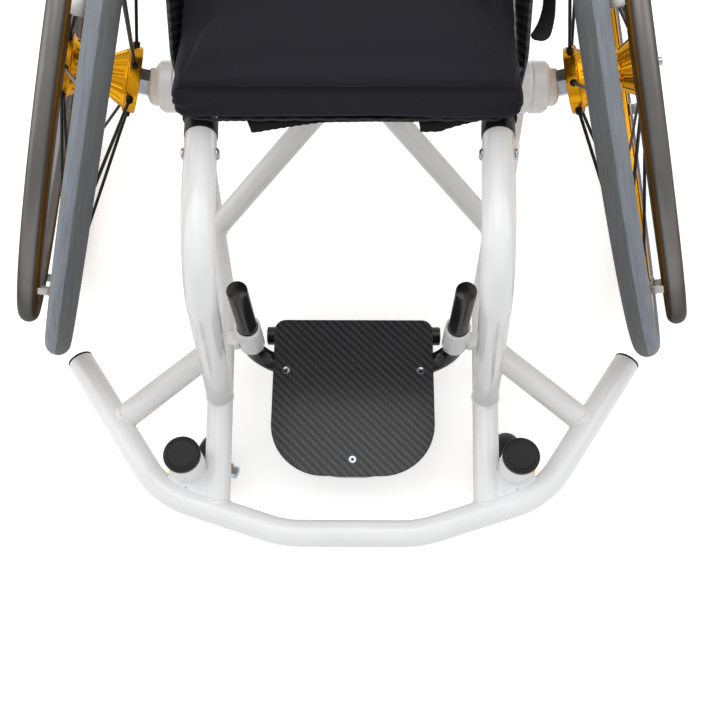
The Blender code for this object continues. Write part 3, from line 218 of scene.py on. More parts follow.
# Sizes of the dressing; a fixing is (radius, height), and small steps of a profile stay in that profile
FLUTE_COUNT = 12
FLUTE_RADIUS = 0.0032
FLUTE_DEPTH = 0.0020
FLUTE_MARGIN = 0.0040
SLEEVE_RIB = 0.018
RIB_DEPTH = 0.0012
COLLAR_LAP = 0.0035
COLLAR_REACH = 0.014
BARREL_BORE = 0.0083
ANTI_TIP_BORE = 0.0063
CAP_BORE_RADIUS = 0.0115
SEAT_BOLT = (0.0052, 0.0034)
GUARD_BOLT = (0.0065, 0.0022)
TAB_BOLT = (0.0032, 0.0020)
STRAP_STUD = (0.0062, 0.0042)
SPOKE_HEAD = (0.0038, 0.0055)
SPOKE_NIPPLE = (0.0030, 0.0125)
SPACER_RADIUS = 0.0065
SEAT_BOLT_AHEAD = 0.022
BOLT_SINK = 0.0012
COLLAR_WALL = 0.0005
GUARD_BOSS_START = 0.009
ANTI_TIP_ARM_STOP = 0.010
BARREL_WEB_WIDTHS = (1.0, 1.2)
TAB_LEG = (0.0035, 0.0135)
TAB_FOOT = (0.0105, 0.0150, 0.0022)
TAB_TOP = HANDRIM_OFFSET - 0.006
TAB_FOOT_SHIFT = 0.0030
TAB_BOLT_SHIFT = 0.0048
ROLLER_BAND = 0.0125
ROLLER_ROUND = 0.69
ROLLER_SHOULDER = 0.7544
ROLLER_BOSS = 0.0085
PLATE_SCREWS = ((-0.0790, -0.258), (0.0790, -0.258), (0.0, -0.3660))
SCREW_PROFILE = (
    (0.0, -0.0010), (0.0016, -0.0010), (0.0018, 0.0001), (0.0040, 0.0003), (0.0043, 0.0001), (0.0043, -0.0008),
    (0.0, -0.0011),
)
BINDING_RADIUS = 0.0022
SEAM_RADIUS = 0.0007
SEAM_SPOTS = (17, 19, 49, 51)
HEM_RADIUS = 0.0013
CUSHION_FRONT_HALF_WIDTH = 0.1475
CUSHION_FRONT_SLOPE = 0.004
CUSHION_SHIFT = 0.0015
SWELL = 0.0010
SWELL_CAP = 0.006
FOAM_GIVE = 0.0005
FOLD_LEVEL = 0.82
FOLD_DEPTH = 0.0060
FLAP_LEFT = -0.1145
FLAP_RIGHT = 0.1125
FLAP_Y = -0.1580
FLAP_LEVEL = 0.4158
FLAP_TONGUES = ((-0.0885, -0.0815, -0.012, 0.0165), (0.061, 0.080, 0.112, 0.0150))
STRAP_WIDTH = 0.018
STRAP_THICKNESS = 0.0018
STRAP_PATH = (
    (0.1612, -0.1015, 0.4520), (0.1668, -0.088, 0.4500), (0.1720, -0.070, 0.4480), (0.1755, -0.045, 0.4460),
    (0.1740, -0.010, 0.4430),
)
STRAP_END = (0.060, 0.440)

# Camera, lamps (name, place, size, power), floor and sky
CAMERA_PLACE = (0.0155, -0.57985, 1.0766)
CAMERA_TURNS = ((1.0923, "Z"), (21.8867, "X"), (-0.8296, "Z"))
FOCAL_LENGTH = 915.75 / 720.0
LAMPS = (
    ("key", (-0.4, 0.2, 2.6), 1.8, 12.0),
    ("fill", (1.7, 0.2, 1.8), 1.8, 8.0),
    ("side", (-1.8, 0.2, 0.9), 1.6, 8.0),
)
LAMP_TARGET = (0.0, -0.1, 0.2)
FLOOR_GLOW = 0.53
FLOOR_IN_GLOSS = 0.4
SKY = {"From Min": -0.1, "From Max": 0.9, "To Min": 0.52, "To Max": 0.86}


def spin(angle, axis="Z"):
    return Matrix.Rotation(angle, 4, axis)


shift = Matrix.Translation
UP = Vector((0.0, 0.0, 1.0))
CHAIR = shift((0.0, AXLE_Y, 0.0))
SIDES = (("left", -1), ("right", 1))
WHEELS = {
    name: CHAIR @ shift((side * WHEEL_X, 0.0, WHEEL_Z)) @ spin(side * (tau / 4 - CAMBER), "Y")
    for name, side in SIDES
}
BEND_STEP = radians(4.0)


def given(thing, **settings):
    """The thing, with its settings filled in."""
    for key, value in settings.items():
        setattr(thing, key, value)
    return thing


# Node-based finishes

class Finish:
    """A node tree being built; values are numbers, colours or outputs of other nodes."""

    def __init__(self, owner, end, **sockets):
        owner.use_nodes = True
        self.owner, self.tree = owner, owner.node_tree
        self.end = self.tree.nodes[end]
        self.fill(self.end, {key.replace("_", " "): value for key, value in sockets.items()})
        self.place = self.tree.nodes.new("ShaderNodeTexCoord").outputs

    def fill(self, node, values):
        for key, value in values.items():
            socket = node.inputs[key]
            if isinstance(value, bpy.types.NodeSocket):
                self.tree.links.new(value, socket)
            elif value is not None:
                socket.default_value = (*value, 1.0) if socket.type == "RGBA" else value

    def node(self, kind, values, output=0, **settings):
        made = given(self.tree.nodes.new("ShaderNode" + kind), **settings)
        self.fill(made, values)
        return made.outputs[output]

    def noise(self, scale, detail=4.0, rough=0.55, stretch=(1, 1, 1)):
        vector = self.node("Mapping", {"Vector": self.place["Object"], "Scale": stretch})
        return self.node("TexNoise", {"Vector": vector, "Scale": scale, "Detail": detail, "Roughness": rough})

    def math(self, operation, *values):
        return self.node("Math", dict(enumerate(values)), operation=operation)

    def times(self, first, second):
        return self.math("MULTIPLY", first, second)

    def span(self, value, low, high, out_low=0.0, out_high=1.0):
        ends = {"From Min": low, "From Max": high, "To Min": out_low, "To Max": out_high}
        return self.node("MapRange", {"Value": value, **ends})

    def mix(self, share, first, second):
        return self.node("Mix", {0: share, 6: first, 7: second}, 2, data_type="RGBA")

    def bump(self, height, strength, distance, previous=None):
        return self.node("Bump", {"Height": height, "Strength": strength, "Distance": distance, "Normal": previous})

    def parts(self, kind="Object"):
        return self.node("SeparateXYZ", {"Vector": self.place[kind]}, slice(None))

    def surface(self, colour, roughness, normal):
        self.fill(self.end, {"Base Color": colour, "Roughness": roughness, "Normal": normal})
        return self.owner


def finish(name, **sockets):
    return Finish(bpy.data.materials.new(name), "Principled BSDF", **sockets)


def toned(colour, factor, lift=0.0):
    return tuple(min(1.0, channel * factor + lift) for channel in colour)


def coated(name, low, high, roughness, peel=0.15, speckle=500.0, coat=0.3):
    """Powder coat or lacquer: slight cloudiness, uneven gloss, orange peel and faint rubbed marks."""
    f = finish(name, Coat_Weight=coat, Coat_Roughness=0.06)
    base = f.mix(f.span(f.noise(9.0, 3.0), 0.35, 0.65), low, high)
    rub = f.span(f.noise(55.0, 8.0, 0.75, (1, 0.3, 1)), 0.66, 0.80, 0.0, 0.30)
    gloss = f.span(f.noise(35.0, 5.0), 0.3, 0.7, roughness * 0.8, roughness * 1.35)
    return f.surface(f.mix(rub, base, toned(low, 0.86)), gloss, f.bump(f.noise(speckle, 2.0), peel, 0.0001))


def metal(name, low, high, roughness, scale=120.0, metallic=1.0, tint=1.0):
    """Bare or blackened metal: soft grain, uneven gloss and a few stray scratches."""
    f = finish(name, Metallic=metallic, Specular_Tint=(tint, tint, tint))
    grain = f.noise(scale, 4.0, 0.6)
    marks = f.span(f.noise(150.0, 3.0, 0.6, (1, 1, 4)), 0.72, 0.76, 0.0, 0.10)
    colour = f.mix(marks, f.mix(f.span(grain, 0.30, 0.70), low, high), toned(high, 1.6, 0.10))
    gloss = f.span(grain, 0.3, 0.7, roughness * 0.9, roughness * 1.15)
    return f.surface(colour, f.math("ADD", gloss, f.times(marks, 0.2)), f.bump(grain, 0.05, 0.0001))


def anodised(name, low, high, roughness, tint):
    """Dyed anodising: an even satin with faint turning lines, slight cloudiness and darker, duller handling marks."""
    f = finish(name, Metallic=1.0, Specular_Tint=(tint, tint, tint))
    marks = f.span(f.noise(190.0, 4.0, 0.7), 0.68, 0.76, 0.0, 0.35)
    colour = f.mix(marks, f.mix(f.span(f.noise(16.0, 3.0), 0.35, 0.65), low, high), toned(high, 1.5, 0.06))
    lines = f.noise(24.0, 2.0, 0.5, (1, 1, 60))
    gloss = f.span(lines, 0.3, 0.7, roughness * 0.92, roughness * 1.10)
    return f.surface(colour, f.math("ADD", gloss, f.times(marks, 0.15)), f.bump(lines, 0.03, 0.00003))


def woven(name, low, high, pitch, kind="Object", axes=(0, 1), sheen=0.06, fuzz=0.4):
    """Plain weave seen close: two sets of threads over and under each other, with fuzz and worn patches."""
    f = finish(name, Sheen_Weight=sheen, Sheen_Roughness=0.45, Specular_IOR_Level=0.25)
    parts = f.parts(kind)
    one, two = (f.math("SINE", f.times(parts[axis], tau / 2 / pitch)) for axis in axes)
    over = f.times(one, two)
    cloud = f.noise(14.0, 5.0, 0.6)
    base = f.mix(f.times(f.math("ADD", f.span(over, -1.0, 1.0), cloud), 0.5), low, high)
    lint = f.span(f.noise(420.0, 3.0, 0.7), 0.66, 0.80, 0.0, fuzz * 0.5)
    normal = f.bump(f.math("ABSOLUTE", over), 0.5, pitch * 0.25, f.bump(f.noise(38.0), 0.25, 0.0015))
    return f.surface(f.mix(lint, base, toned(high, 2.4, 0.01)), f.span(cloud, 0.3, 0.7, 0.77, 0.93), normal)


def twill(name, pitch):
    """Carbon cloth in two-by-two twill under clear lacquer, laid in the piece's own plane; its colour holds painted
    light: a painted highlight along the middle of each tow, and warp tows painted lighter than weft tows.
    """
    f = finish(name, Coat_Weight=0.4, Coat_Roughness=0.18, Specular_IOR_Level=0.25)
    across, along = (f.math("DIVIDE", part, pitch) for part in f.parts()[:2])
    step = f.math("FLOORED_MODULO", f.math("ADD", f.math("FLOOR", across), f.math("FLOOR", along)), 4.0)
    warp = f.math("LESS_THAN", step, 2.0)
    tow_a, tow_b = (f.math("SINE", f.times(f.math("FRACT", run), tau / 2)) for run in (across, along))
    tow = f.math("ADD", f.times(warp, tow_a), f.times(f.math("SUBTRACT", 1.0, warp), tow_b))
    fibres = f.noise(900.0, 2.0, 0.5, (1, 0.15, 1))
    # painted highlight: each tow's colour is lighter along its middle, varied by the fibres
    shade = f.times(f.span(tow, 0.0, 1.0, 0.25, 1.0), f.span(fibres, 0.3, 0.7, 0.7, 1.1))
    # painted light: the weft tows take the shaded copy of the black, the warp tows the lit copy
    dark = f.mix(shade, (0.006, 0.006, 0.007), (0.020, 0.020, 0.022))
    light = f.mix(shade, (0.012, 0.012, 0.013), (0.062, 0.062, 0.066))
    return f.surface(f.mix(warp, dark, light), f.span(warp, 0.0, 1.0, 0.42, 0.30), f.bump(tow, 0.35, 0.00025))


def tread_rubber(name):
    """Tyre with painted light: the outer half, which faces up, painted lighter past a wavy line; fine moulding lines
    round the tread, a light cross hatch and dust.
    """
    f = finish(name, Specular_IOR_Level=0.35)
    x, y, z = f.parts()
    dust = f.noise(22.0, 6.0, 0.7)
    streaks = f.noise(26.0, 4.0, 0.65, (1, 1, 42))
    tone = f.span(f.math("ADD", f.times(streaks, 0.75), f.times(dust, 0.25)), 0.36, 0.64)
    # the wavy line where the painted shaded inner half meets the painted lit outer half
    edge = f.math("ADD", z, f.times(f.math("SUBTRACT", dust, 0.5), 0.0022))
    # painted light: a shaded copy of the grey for the inner half and a lit copy for the outer half, which faces up
    dark = f.mix(tone, (0.090, 0.092, 0.096), (0.140, 0.142, 0.148))
    light = f.mix(tone, (0.175, 0.192, 0.218), (0.265, 0.288, 0.325))
    slant = f.times(z, 1900.0)
    turns = f.times(f.math("ARCTAN2", y, x), 560.0)
    one, two = (f.math("SINE", f.math(way, turns, slant)) for way in ("ADD", "SUBTRACT"))
    normal = f.bump(f.times(one, two), 0.2, 0.0003, f.bump(streaks, 0.35, 0.0004))
    return f.surface(f.mix(f.span(edge, 0.0008, 0.0018), dark, light), f.span(dust, 0.3, 0.7, 0.62, 0.82), normal)


def rubber(name, low, high, roughness, grain=900.0, gloss=0.3):
    f = finish(name, Specular_IOR_Level=gloss)
    cloud = f.noise(40.0, 6.0, 0.7)
    colour = f.mix(f.span(cloud, 0.3, 0.7), low, high)
    rough = f.span(cloud, 0.3, 0.7, roughness * 0.85, roughness * 1.15)
    return f.surface(colour, rough, f.bump(f.noise(grain, 3.0), 0.3, 0.00015))


BLACK = ((0.007, 0.007, 0.008), (0.013, 0.013, 0.014))
SOFT_BLACK = ((0.010, 0.010, 0.011), (0.020, 0.020, 0.021))
M = {
    "white": coated("white_powder_coat", (0.85, 0.853, 0.86), (0.89, 0.893, 0.90), 0.14),
    "sleeve": coated("grey_polymer", (0.88, 0.885, 0.89), (0.92, 0.925, 0.93), 0.16, 0.1, 400.0, 0.6),
    "black_tube": rubber("black_anodised", *BLACK, 0.22, 1200.0, 0.55),
    "black_plastic": rubber("black_moulded", *BLACK, 0.40, 1500.0),
    "gold": anodised("gold_anodised", (0.72, 0.325, 0.008), (0.82, 0.385, 0.012), 0.20, 0.7),
    "titanium": anodised("grey_titanium", (0.185, 0.176, 0.168), (0.215, 0.206, 0.197), 0.36, 0.25),
    "steel": metal("bright_steel", (0.42, 0.45, 0.50), (0.60, 0.62, 0.66), 0.16, 150.0),
    "tab_steel": metal("brushed_tab_steel", (0.38, 0.37, 0.35), (0.50, 0.49, 0.47), 0.30),
    "black_steel": metal("blackened_steel", *SOFT_BLACK, 0.30, metallic=0.3, tint=0.4),
    "tyre": tread_rubber("grey_tread_rubber"),
    "caster": rubber("black_urethane", *SOFT_BLACK, 0.45),
    "core": rubber("grey_nylon_core", (0.10, 0.10, 0.105), (0.14, 0.14, 0.145), 0.4),
    "carbon": twill("carbon_twill", 0.0026),
    "seat_cloth": woven("dark_seat_cloth", (0.006, 0.006, 0.0095), (0.021, 0.021, 0.031), 0.0009),
    "seat_hem": woven("dark_seat_hem", (0.030, 0.031, 0.036), (0.060, 0.062, 0.068), 0.0009),
    "sling_cloth": woven("black_sling_cloth", (0.006, 0.006, 0.007), (0.013, 0.013, 0.015), 0.0012, "UV"),
    "webbing_band": woven(
        "black_strap_webbing", (0.012, 0.012, 0.014), (0.030, 0.030, 0.034), 0.0013, "Object", (1, 2), 0.03, 0.2),
    "webbing": woven("black_webbing", (0.003, 0.003, 0.004), (0.008, 0.008, 0.010), 0.0016, "UV", (0, 1), 0.0, 0.1),
}


# Lines and places

def bend(before, corner, after, radius):
    back, ahead = (before - corner).normalized(), (after - corner).normalized()
    half = back.angle(ahead) / 2
    centre = corner + (back + ahead).normalized() * radius / sin(half)
    reach = radius / math.tan(half)
    first, last = corner + back * reach - centre, corner + ahead * reach - centre
    angle = first.angle(last)
    axis = first.cross(last).normalized()
    steps = max(3, math.ceil(angle / BEND_STEP))
    return [centre + Matrix.Rotation(angle * step / steps, 3, axis) @ first for step in range(steps + 1)]


def rounded(corners, radii, closed=False):
    corners = [Vector(corner).to_3d() for corner in corners]
    path = []
    for index, radius in enumerate(radii, start=0 if closed else 1):
        path += bend(corners[index - 1], corners[index], corners[(index + 1) % len(corners)], radius)
    return path if closed else [corners[0], *path, corners[-1]]


def symmetric(corners, bends, closed=False):
    """A rounded line through the corners on the left, then through their mirror images on the right."""
    left = [(-x, *rest) for x, *rest in corners]
    return rounded([*left, *reversed(corners)], (*bends, *reversed(bends)), closed)


def at_height(points, side, axis, value):
    for first, second in zip(points, points[1:]):
        low, high = sorted((first[axis], second[axis]))
        if low <= value <= high and (first[0] + second[0]) / 2 * side > 0 and high > low:
            return first.lerp(second, (value - first[axis]) / (second[axis] - first[axis]))
    raise ValueError("the run doesn't reach that place")


def nearest(points, place):
    spots = []
    for first, second in zip(points, points[1:]):
        along = second - first
        share = (place - first).dot(along) / along.length_squared
        spots.append(first + along * min(1.0, max(0.0, share)))
    return min(spots, key=lambda spot: (spot - place).length)


def bend_through(knots, count):
    """A smooth line through the knots (Catmull-Rom)."""
    points = [knots[0] * 2 - knots[1]] + knots + [knots[-1] * 2 - knots[-2]]
    line = []
    for step in range(count + 1):
        share = step / count * (len(knots) - 1)
        index = min(int(share), len(knots) - 2)
        t = share - index
        a, b, c, d = points[index:index + 4]
        spot = 2 * b + (c - a) * t + (2 * a - 5 * b + 4 * c - d) * t ** 2 + (3 * b - a - 3 * c + d) * t ** 3
        line.append(spot / 2)
    return line


def seat_point(side, y):
    back = y - SEAT_FRONT[1]
    return Vector((side * (SEAT_FRONT[0] + SEAT_SPREAD * back), y, SEAT_FRONT[2] - SEAT_DUMP * back))


def upright_point(side, z):
    rise = z - UPRIGHT_BEND_Z
    return Vector((seat_point(side, RAIL_REAR[1]).x, RAIL_REAR[1] + math.tan(LEAN) * rise, z))


def axle_point(x):
    return Vector((x, 0.0, CAMBER_TUBE_Z))


# Geometry helpers

def shade(mesh, sharp=35.0):
    mesh.shade_smooth()
    mesh.set_sharp_from_angle(angle=radians(sharp))


def put(name, data, matrix):
    thing = bpy.data.objects.new(name, data)
    bpy.context.scene.collection.objects.link(thing)
    thing.matrix_world = matrix
    return thing


def make(name, form, matrix, outward=True):
    """Turns a mesh in work into an object."""
    mesh = bpy.data.meshes.new(name)
    if outward:
        bmesh.ops.recalc_face_normals(form, faces=form.faces)
    form.to_mesh(mesh)
    form.free()
    return put(name, mesh, matrix)


def add(name, form, material, body="root", matrix=CHAIR, node=None, slot=None, sharp=35.0, outward=True):
    """Makes a piece from a mesh in work, puts it in place and hands it to its body."""
    thing = make(name, form, matrix, outward)
    shade(thing.data, sharp)
    thing.data.materials.append(M[material])
    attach(thing, body)
    if node:
        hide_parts(node)
    return thing


def skin(form, rows, place=None, around=True, closed=False):
    """Joins rows of vertices by faces; place(row, step) is a corner's UV spot, and a row of one vertex is a pole."""
    layer = form.loops.layers.uv.verify() if place else None
    count = max(len(row) for row in rows)
    for low in range(len(rows) - (not closed)):
        for k in range(count - (not around)):
            corners, spots = [], []
            for row, step in ((low, k), (low, k + 1), (low + 1, k + 1), (low + 1, k)):
                ring = rows[row % len(rows)]
                if ring[step % len(ring)] not in corners:
                    corners.append(ring[step % len(ring)])
                    spots.append((row, step))
            face = form.faces.new(corners)
            if place:
                for loop, spot in zip(face.loops, spots):
                    loop[layer].uv = place(*spot)


def add_rings(form, rings, sides, closed=False):
    """Skins rings of (centre, frame x, frame y, radius), with a UV map in metres; a ring of no radius is a pole."""
    lengths = [0.0]
    for before, ring in zip(rings, rings[1:] + rings[:1]):
        lengths.append(lengths[-1] + max((ring[0] - before[0]).length, abs(ring[3] - before[3])))
    rows = []
    for centre, x_axis, y_axis, radius in rings:
        angles = [tau * k / sides for k in range(sides if radius > 1e-6 else 1)]
        rows.append([form.verts.new(centre + radius * (x_axis * cos(a) + y_axis * sin(a))) for a in angles])
    skin(form, rows, lambda row, k: (lengths[row], rings[row % len(rings)][3] * tau * k / sides), closed=closed)
    for row in (rows[0], rows[-1][::-1]):
        if len(row) > 1 and not closed:
            form.faces.new(row)


def frames_along(points, closed=False):
    """Unit tangents with two cross axes that turn as little as possible."""
    last = len(points) - 1
    made = []
    for index in range(last + 1):
        if closed:
            along = points[(index + 1) % len(points)] - points[index - 1]
        else:
            along = points[min(index + 1, last)] - points[max(index - 1, 0)]
        tangent = along.normalized()
        if made:
            x_axis = made[-1][0].rotation_difference(tangent) @ made[-1][1]
        else:
            x_axis = UP if abs(tangent.z) < 0.9 else Vector((1.0, 0.0, 0.0))
        x_axis = (x_axis - tangent * x_axis.dot(tangent)).normalized()
        made.append((tangent, x_axis, tangent.cross(x_axis)))
    return made


def cross_axes(along):
    x_axis = along.cross(UP if abs(along.z) < 0.9 else Vector((1.0, 0.0, 0.0))).normalized()
    return x_axis, along.cross(x_axis)


def sweep(form, points, radius, sides=40, mouth_start=None, mouth_end=None, edge=0.0008):
    """A tube with softened ends; a mouth of (inner radius, depth) leaves an end open."""
    frames = frames_along(points)
    ends = []
    for index, way, mouth in ((0, 1, mouth_start), (-1, -1, mouth_end)):
        steps = [(0.0, radius - edge), (edge * 0.3, radius - edge * 0.3), (edge, radius)]
        if mouth:
            inner, depth = mouth
            rim = [(edge * 0.3, inner + edge * 0.3), (0.0, (inner + radius) / 2)]
            steps = [(depth, inner), (edge, inner), *rim, *steps]
        inward, *axes = frames[index]
        ends.append([(points[index] + inward * way * step, *axes, size) for step, size in steps])
    middle = [(point, *axes, radius) for point, (_, *axes) in zip(points[1:-1], frames[1:-1])]
    add_rings(form, ends[0] + middle + ends[1][::-1], sides)


def tube(name, points, radius, material, node=None, body="root", **options):
    form = bmesh.new()
    sweep(form, points, radius, **options)
    return add(name, form, material, body, node=node)


def add_weld(form, start, toward, radius, others, bead=0.0036, reach=0.075):
    """A painted fillet where a tube meets another; others are its points and radius, and start lies inside it."""
    along = (toward - start).normalized()
    x_axis, y_axis = cross_axes(along)
    points, size = others
    seam = []
    count = 72
    for k in range(count):
        base = start + (radius - bead * 0.55) * (x_axis * cos(tau * k / count) + y_axis * sin(tau * k / count))
        low, high = 0.0, reach
        for _ in range(18):
            middle = (low + high) / 2
            spot = base + along * middle
            if (nearest(points, spot) - spot).length < size:
                low = middle
            else:
                high = middle
        seam.append(base + along * (high - bead * 0.45))
    for _ in range(3):
        seam = [(seam[k - 1] + seam[k] * 2 + seam[(k + 1) % count]) / 4 for k in range(count)]
    rings = [
        (point, x, y, bead * (1.0 + 0.05 * sin(tau * k * 0.25)))
        for k, (point, (_, x, y)) in enumerate(zip(seam, frames_along(seam, closed=True)))
    ]
    add_rings(form, rings, 10, closed=True)


def lathe(form, profile, sides=96, closed=False, matrix=Matrix.Identity(4)):
    """Turns (radius, height) pairs about the matrix's Z axis."""
    x_axis, y_axis, axis, centre = (column.to_3d() for column in matrix.col)
    add_rings(form, [(centre + axis * height, x_axis, y_axis, radius) for radius, height in profile], sides, closed)


def turned(name, profile, sides, material, *where, closed=False, **options):
    form = bmesh.new()
    lathe(form, profile, sides, closed)
    return add(name, form, material, *where, **options)


def mirrored(profile):
    return profile + [(radius, -height) for radius, height in reversed(profile)]


def arc(radius, height, wide, high, first, last, steps):
    """Points (radius, height) of a profile along an oval, from the first angle to the last."""
    angles = [first + (last - first) * step / steps for step in range(steps + 1)]
    return [(radius + wide * cos(angle), height + high * sin(angle)) for angle in angles]


def softened(profile, radius, steps=3, closed=False):
    """A profile of (radius, height) pairs with its corners rounded."""
    made = []
    for index, point in enumerate(profile):
        here = Vector(point)
        back, ahead = Vector(profile[index - 1]) - here, Vector(profile[(index + 1) % len(profile)]) - here
        size = min(radius, back.length * 0.45, ahead.length * 0.45)
        if size < 1e-5 or not closed and index in (0, len(profile) - 1):
            made.append(point)
            continue
        first, last = here + back.normalized() * size, here + ahead.normalized() * size
        for step in range(steps + 1):
            t = step / steps
            made.append(tuple(first * (1 - t) ** 2 + here * 2 * t * (1 - t) + last * t ** 2))
    return made


def add_barrel(form, inner, outer, low, high, soft, sides, centre):
    profile = [(inner, high), (outer, high), (outer, low), (inner, low)]
    lathe(form, softened(profile, soft, closed=True), sides, True, shift(centre))


def add_prism(form, start, along, radius, length, sides=32, edge=0.0006):
    """A round boss with softened edges, from start along a direction."""
    along = Vector(along).normalized()
    rings = [(0.0, radius - edge), (edge, radius), (length - edge, radius), (length, radius - edge)]
    add_rings(form, [(Vector(start) + along * d, *cross_axes(along), r) for d, r in rings], sides)


def add_block(form, size, centre, turn=None, edge=0.001):
    """A box with bevelled edges."""
    matrix = shift(centre) @ (turn or Matrix.Identity(4)) @ Matrix.Diagonal((*size, 1.0))
    made = bmesh.ops.create_cube(form, size=1.0, matrix=matrix)
    edges = list({e for v in made["verts"] for e in v.link_edges})
    bmesh.ops.bevel(form, geom=edges, offset=edge, segments=2, profile=0.5, affect="EDGES")


def plate_form(outline, thickness, edge=0.0006):
    """A flat outline with half its thickness to each side and a softened rim."""
    form = bmesh.new()
    rows = []
    half = thickness / 2
    for height, inset in ((-half, edge), (edge - half, 0.0), (half - edge, 0.0), (half, edge)):
        row = []
        for index, point in enumerate(outline):
            tangent = (outline[(index + 1) % len(outline)] - outline[index - 1]).normalized()
            row.append(form.verts.new((point.x - tangent.y * inset, point.y + tangent.x * inset, height)))
        rows.append(row)
    skin(form, rows)
    form.faces.new(rows[0][::-1])
    form.faces.new(rows[-1])
    return form


def bake(thing):
    """Applies the modifiers of a piece to its mesh."""
    bpy.context.view_layer.update()
    mesh = bpy.data.meshes.new_from_object(thing.evaluated_get(bpy.context.evaluated_depsgraph_get()))
    thing.modifiers.clear()
    thing.data = mesh


def cut(thing, cutter_form):
    """Takes a cutter, given in the thing's own space, out of the thing."""
    cutter = make("cutter", cutter_form, thing.matrix_world)
    given(thing.modifiers.new("shape", "BOOLEAN"), object=cutter)
    bake(thing)
    bpy.data.objects.remove(cutter)
    shade(thing.data)
    given(thing.modifiers.new("even_shading", "WEIGHTED_NORMAL"), keep_sharp=True)


def dress(node, material, bevel, segments=2):
    """A CAD node that stays: a finish and softened edges."""
    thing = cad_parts[node]
    thing.data.materials.clear()
    thing.data.materials.append(M[material])
    given(
        thing.modifiers.new("edges", "BEVEL"), width=bevel, segments=segments, limit_method="ANGLE",
        angle_limit=radians(30.0), harden_normals=False)


# Frame

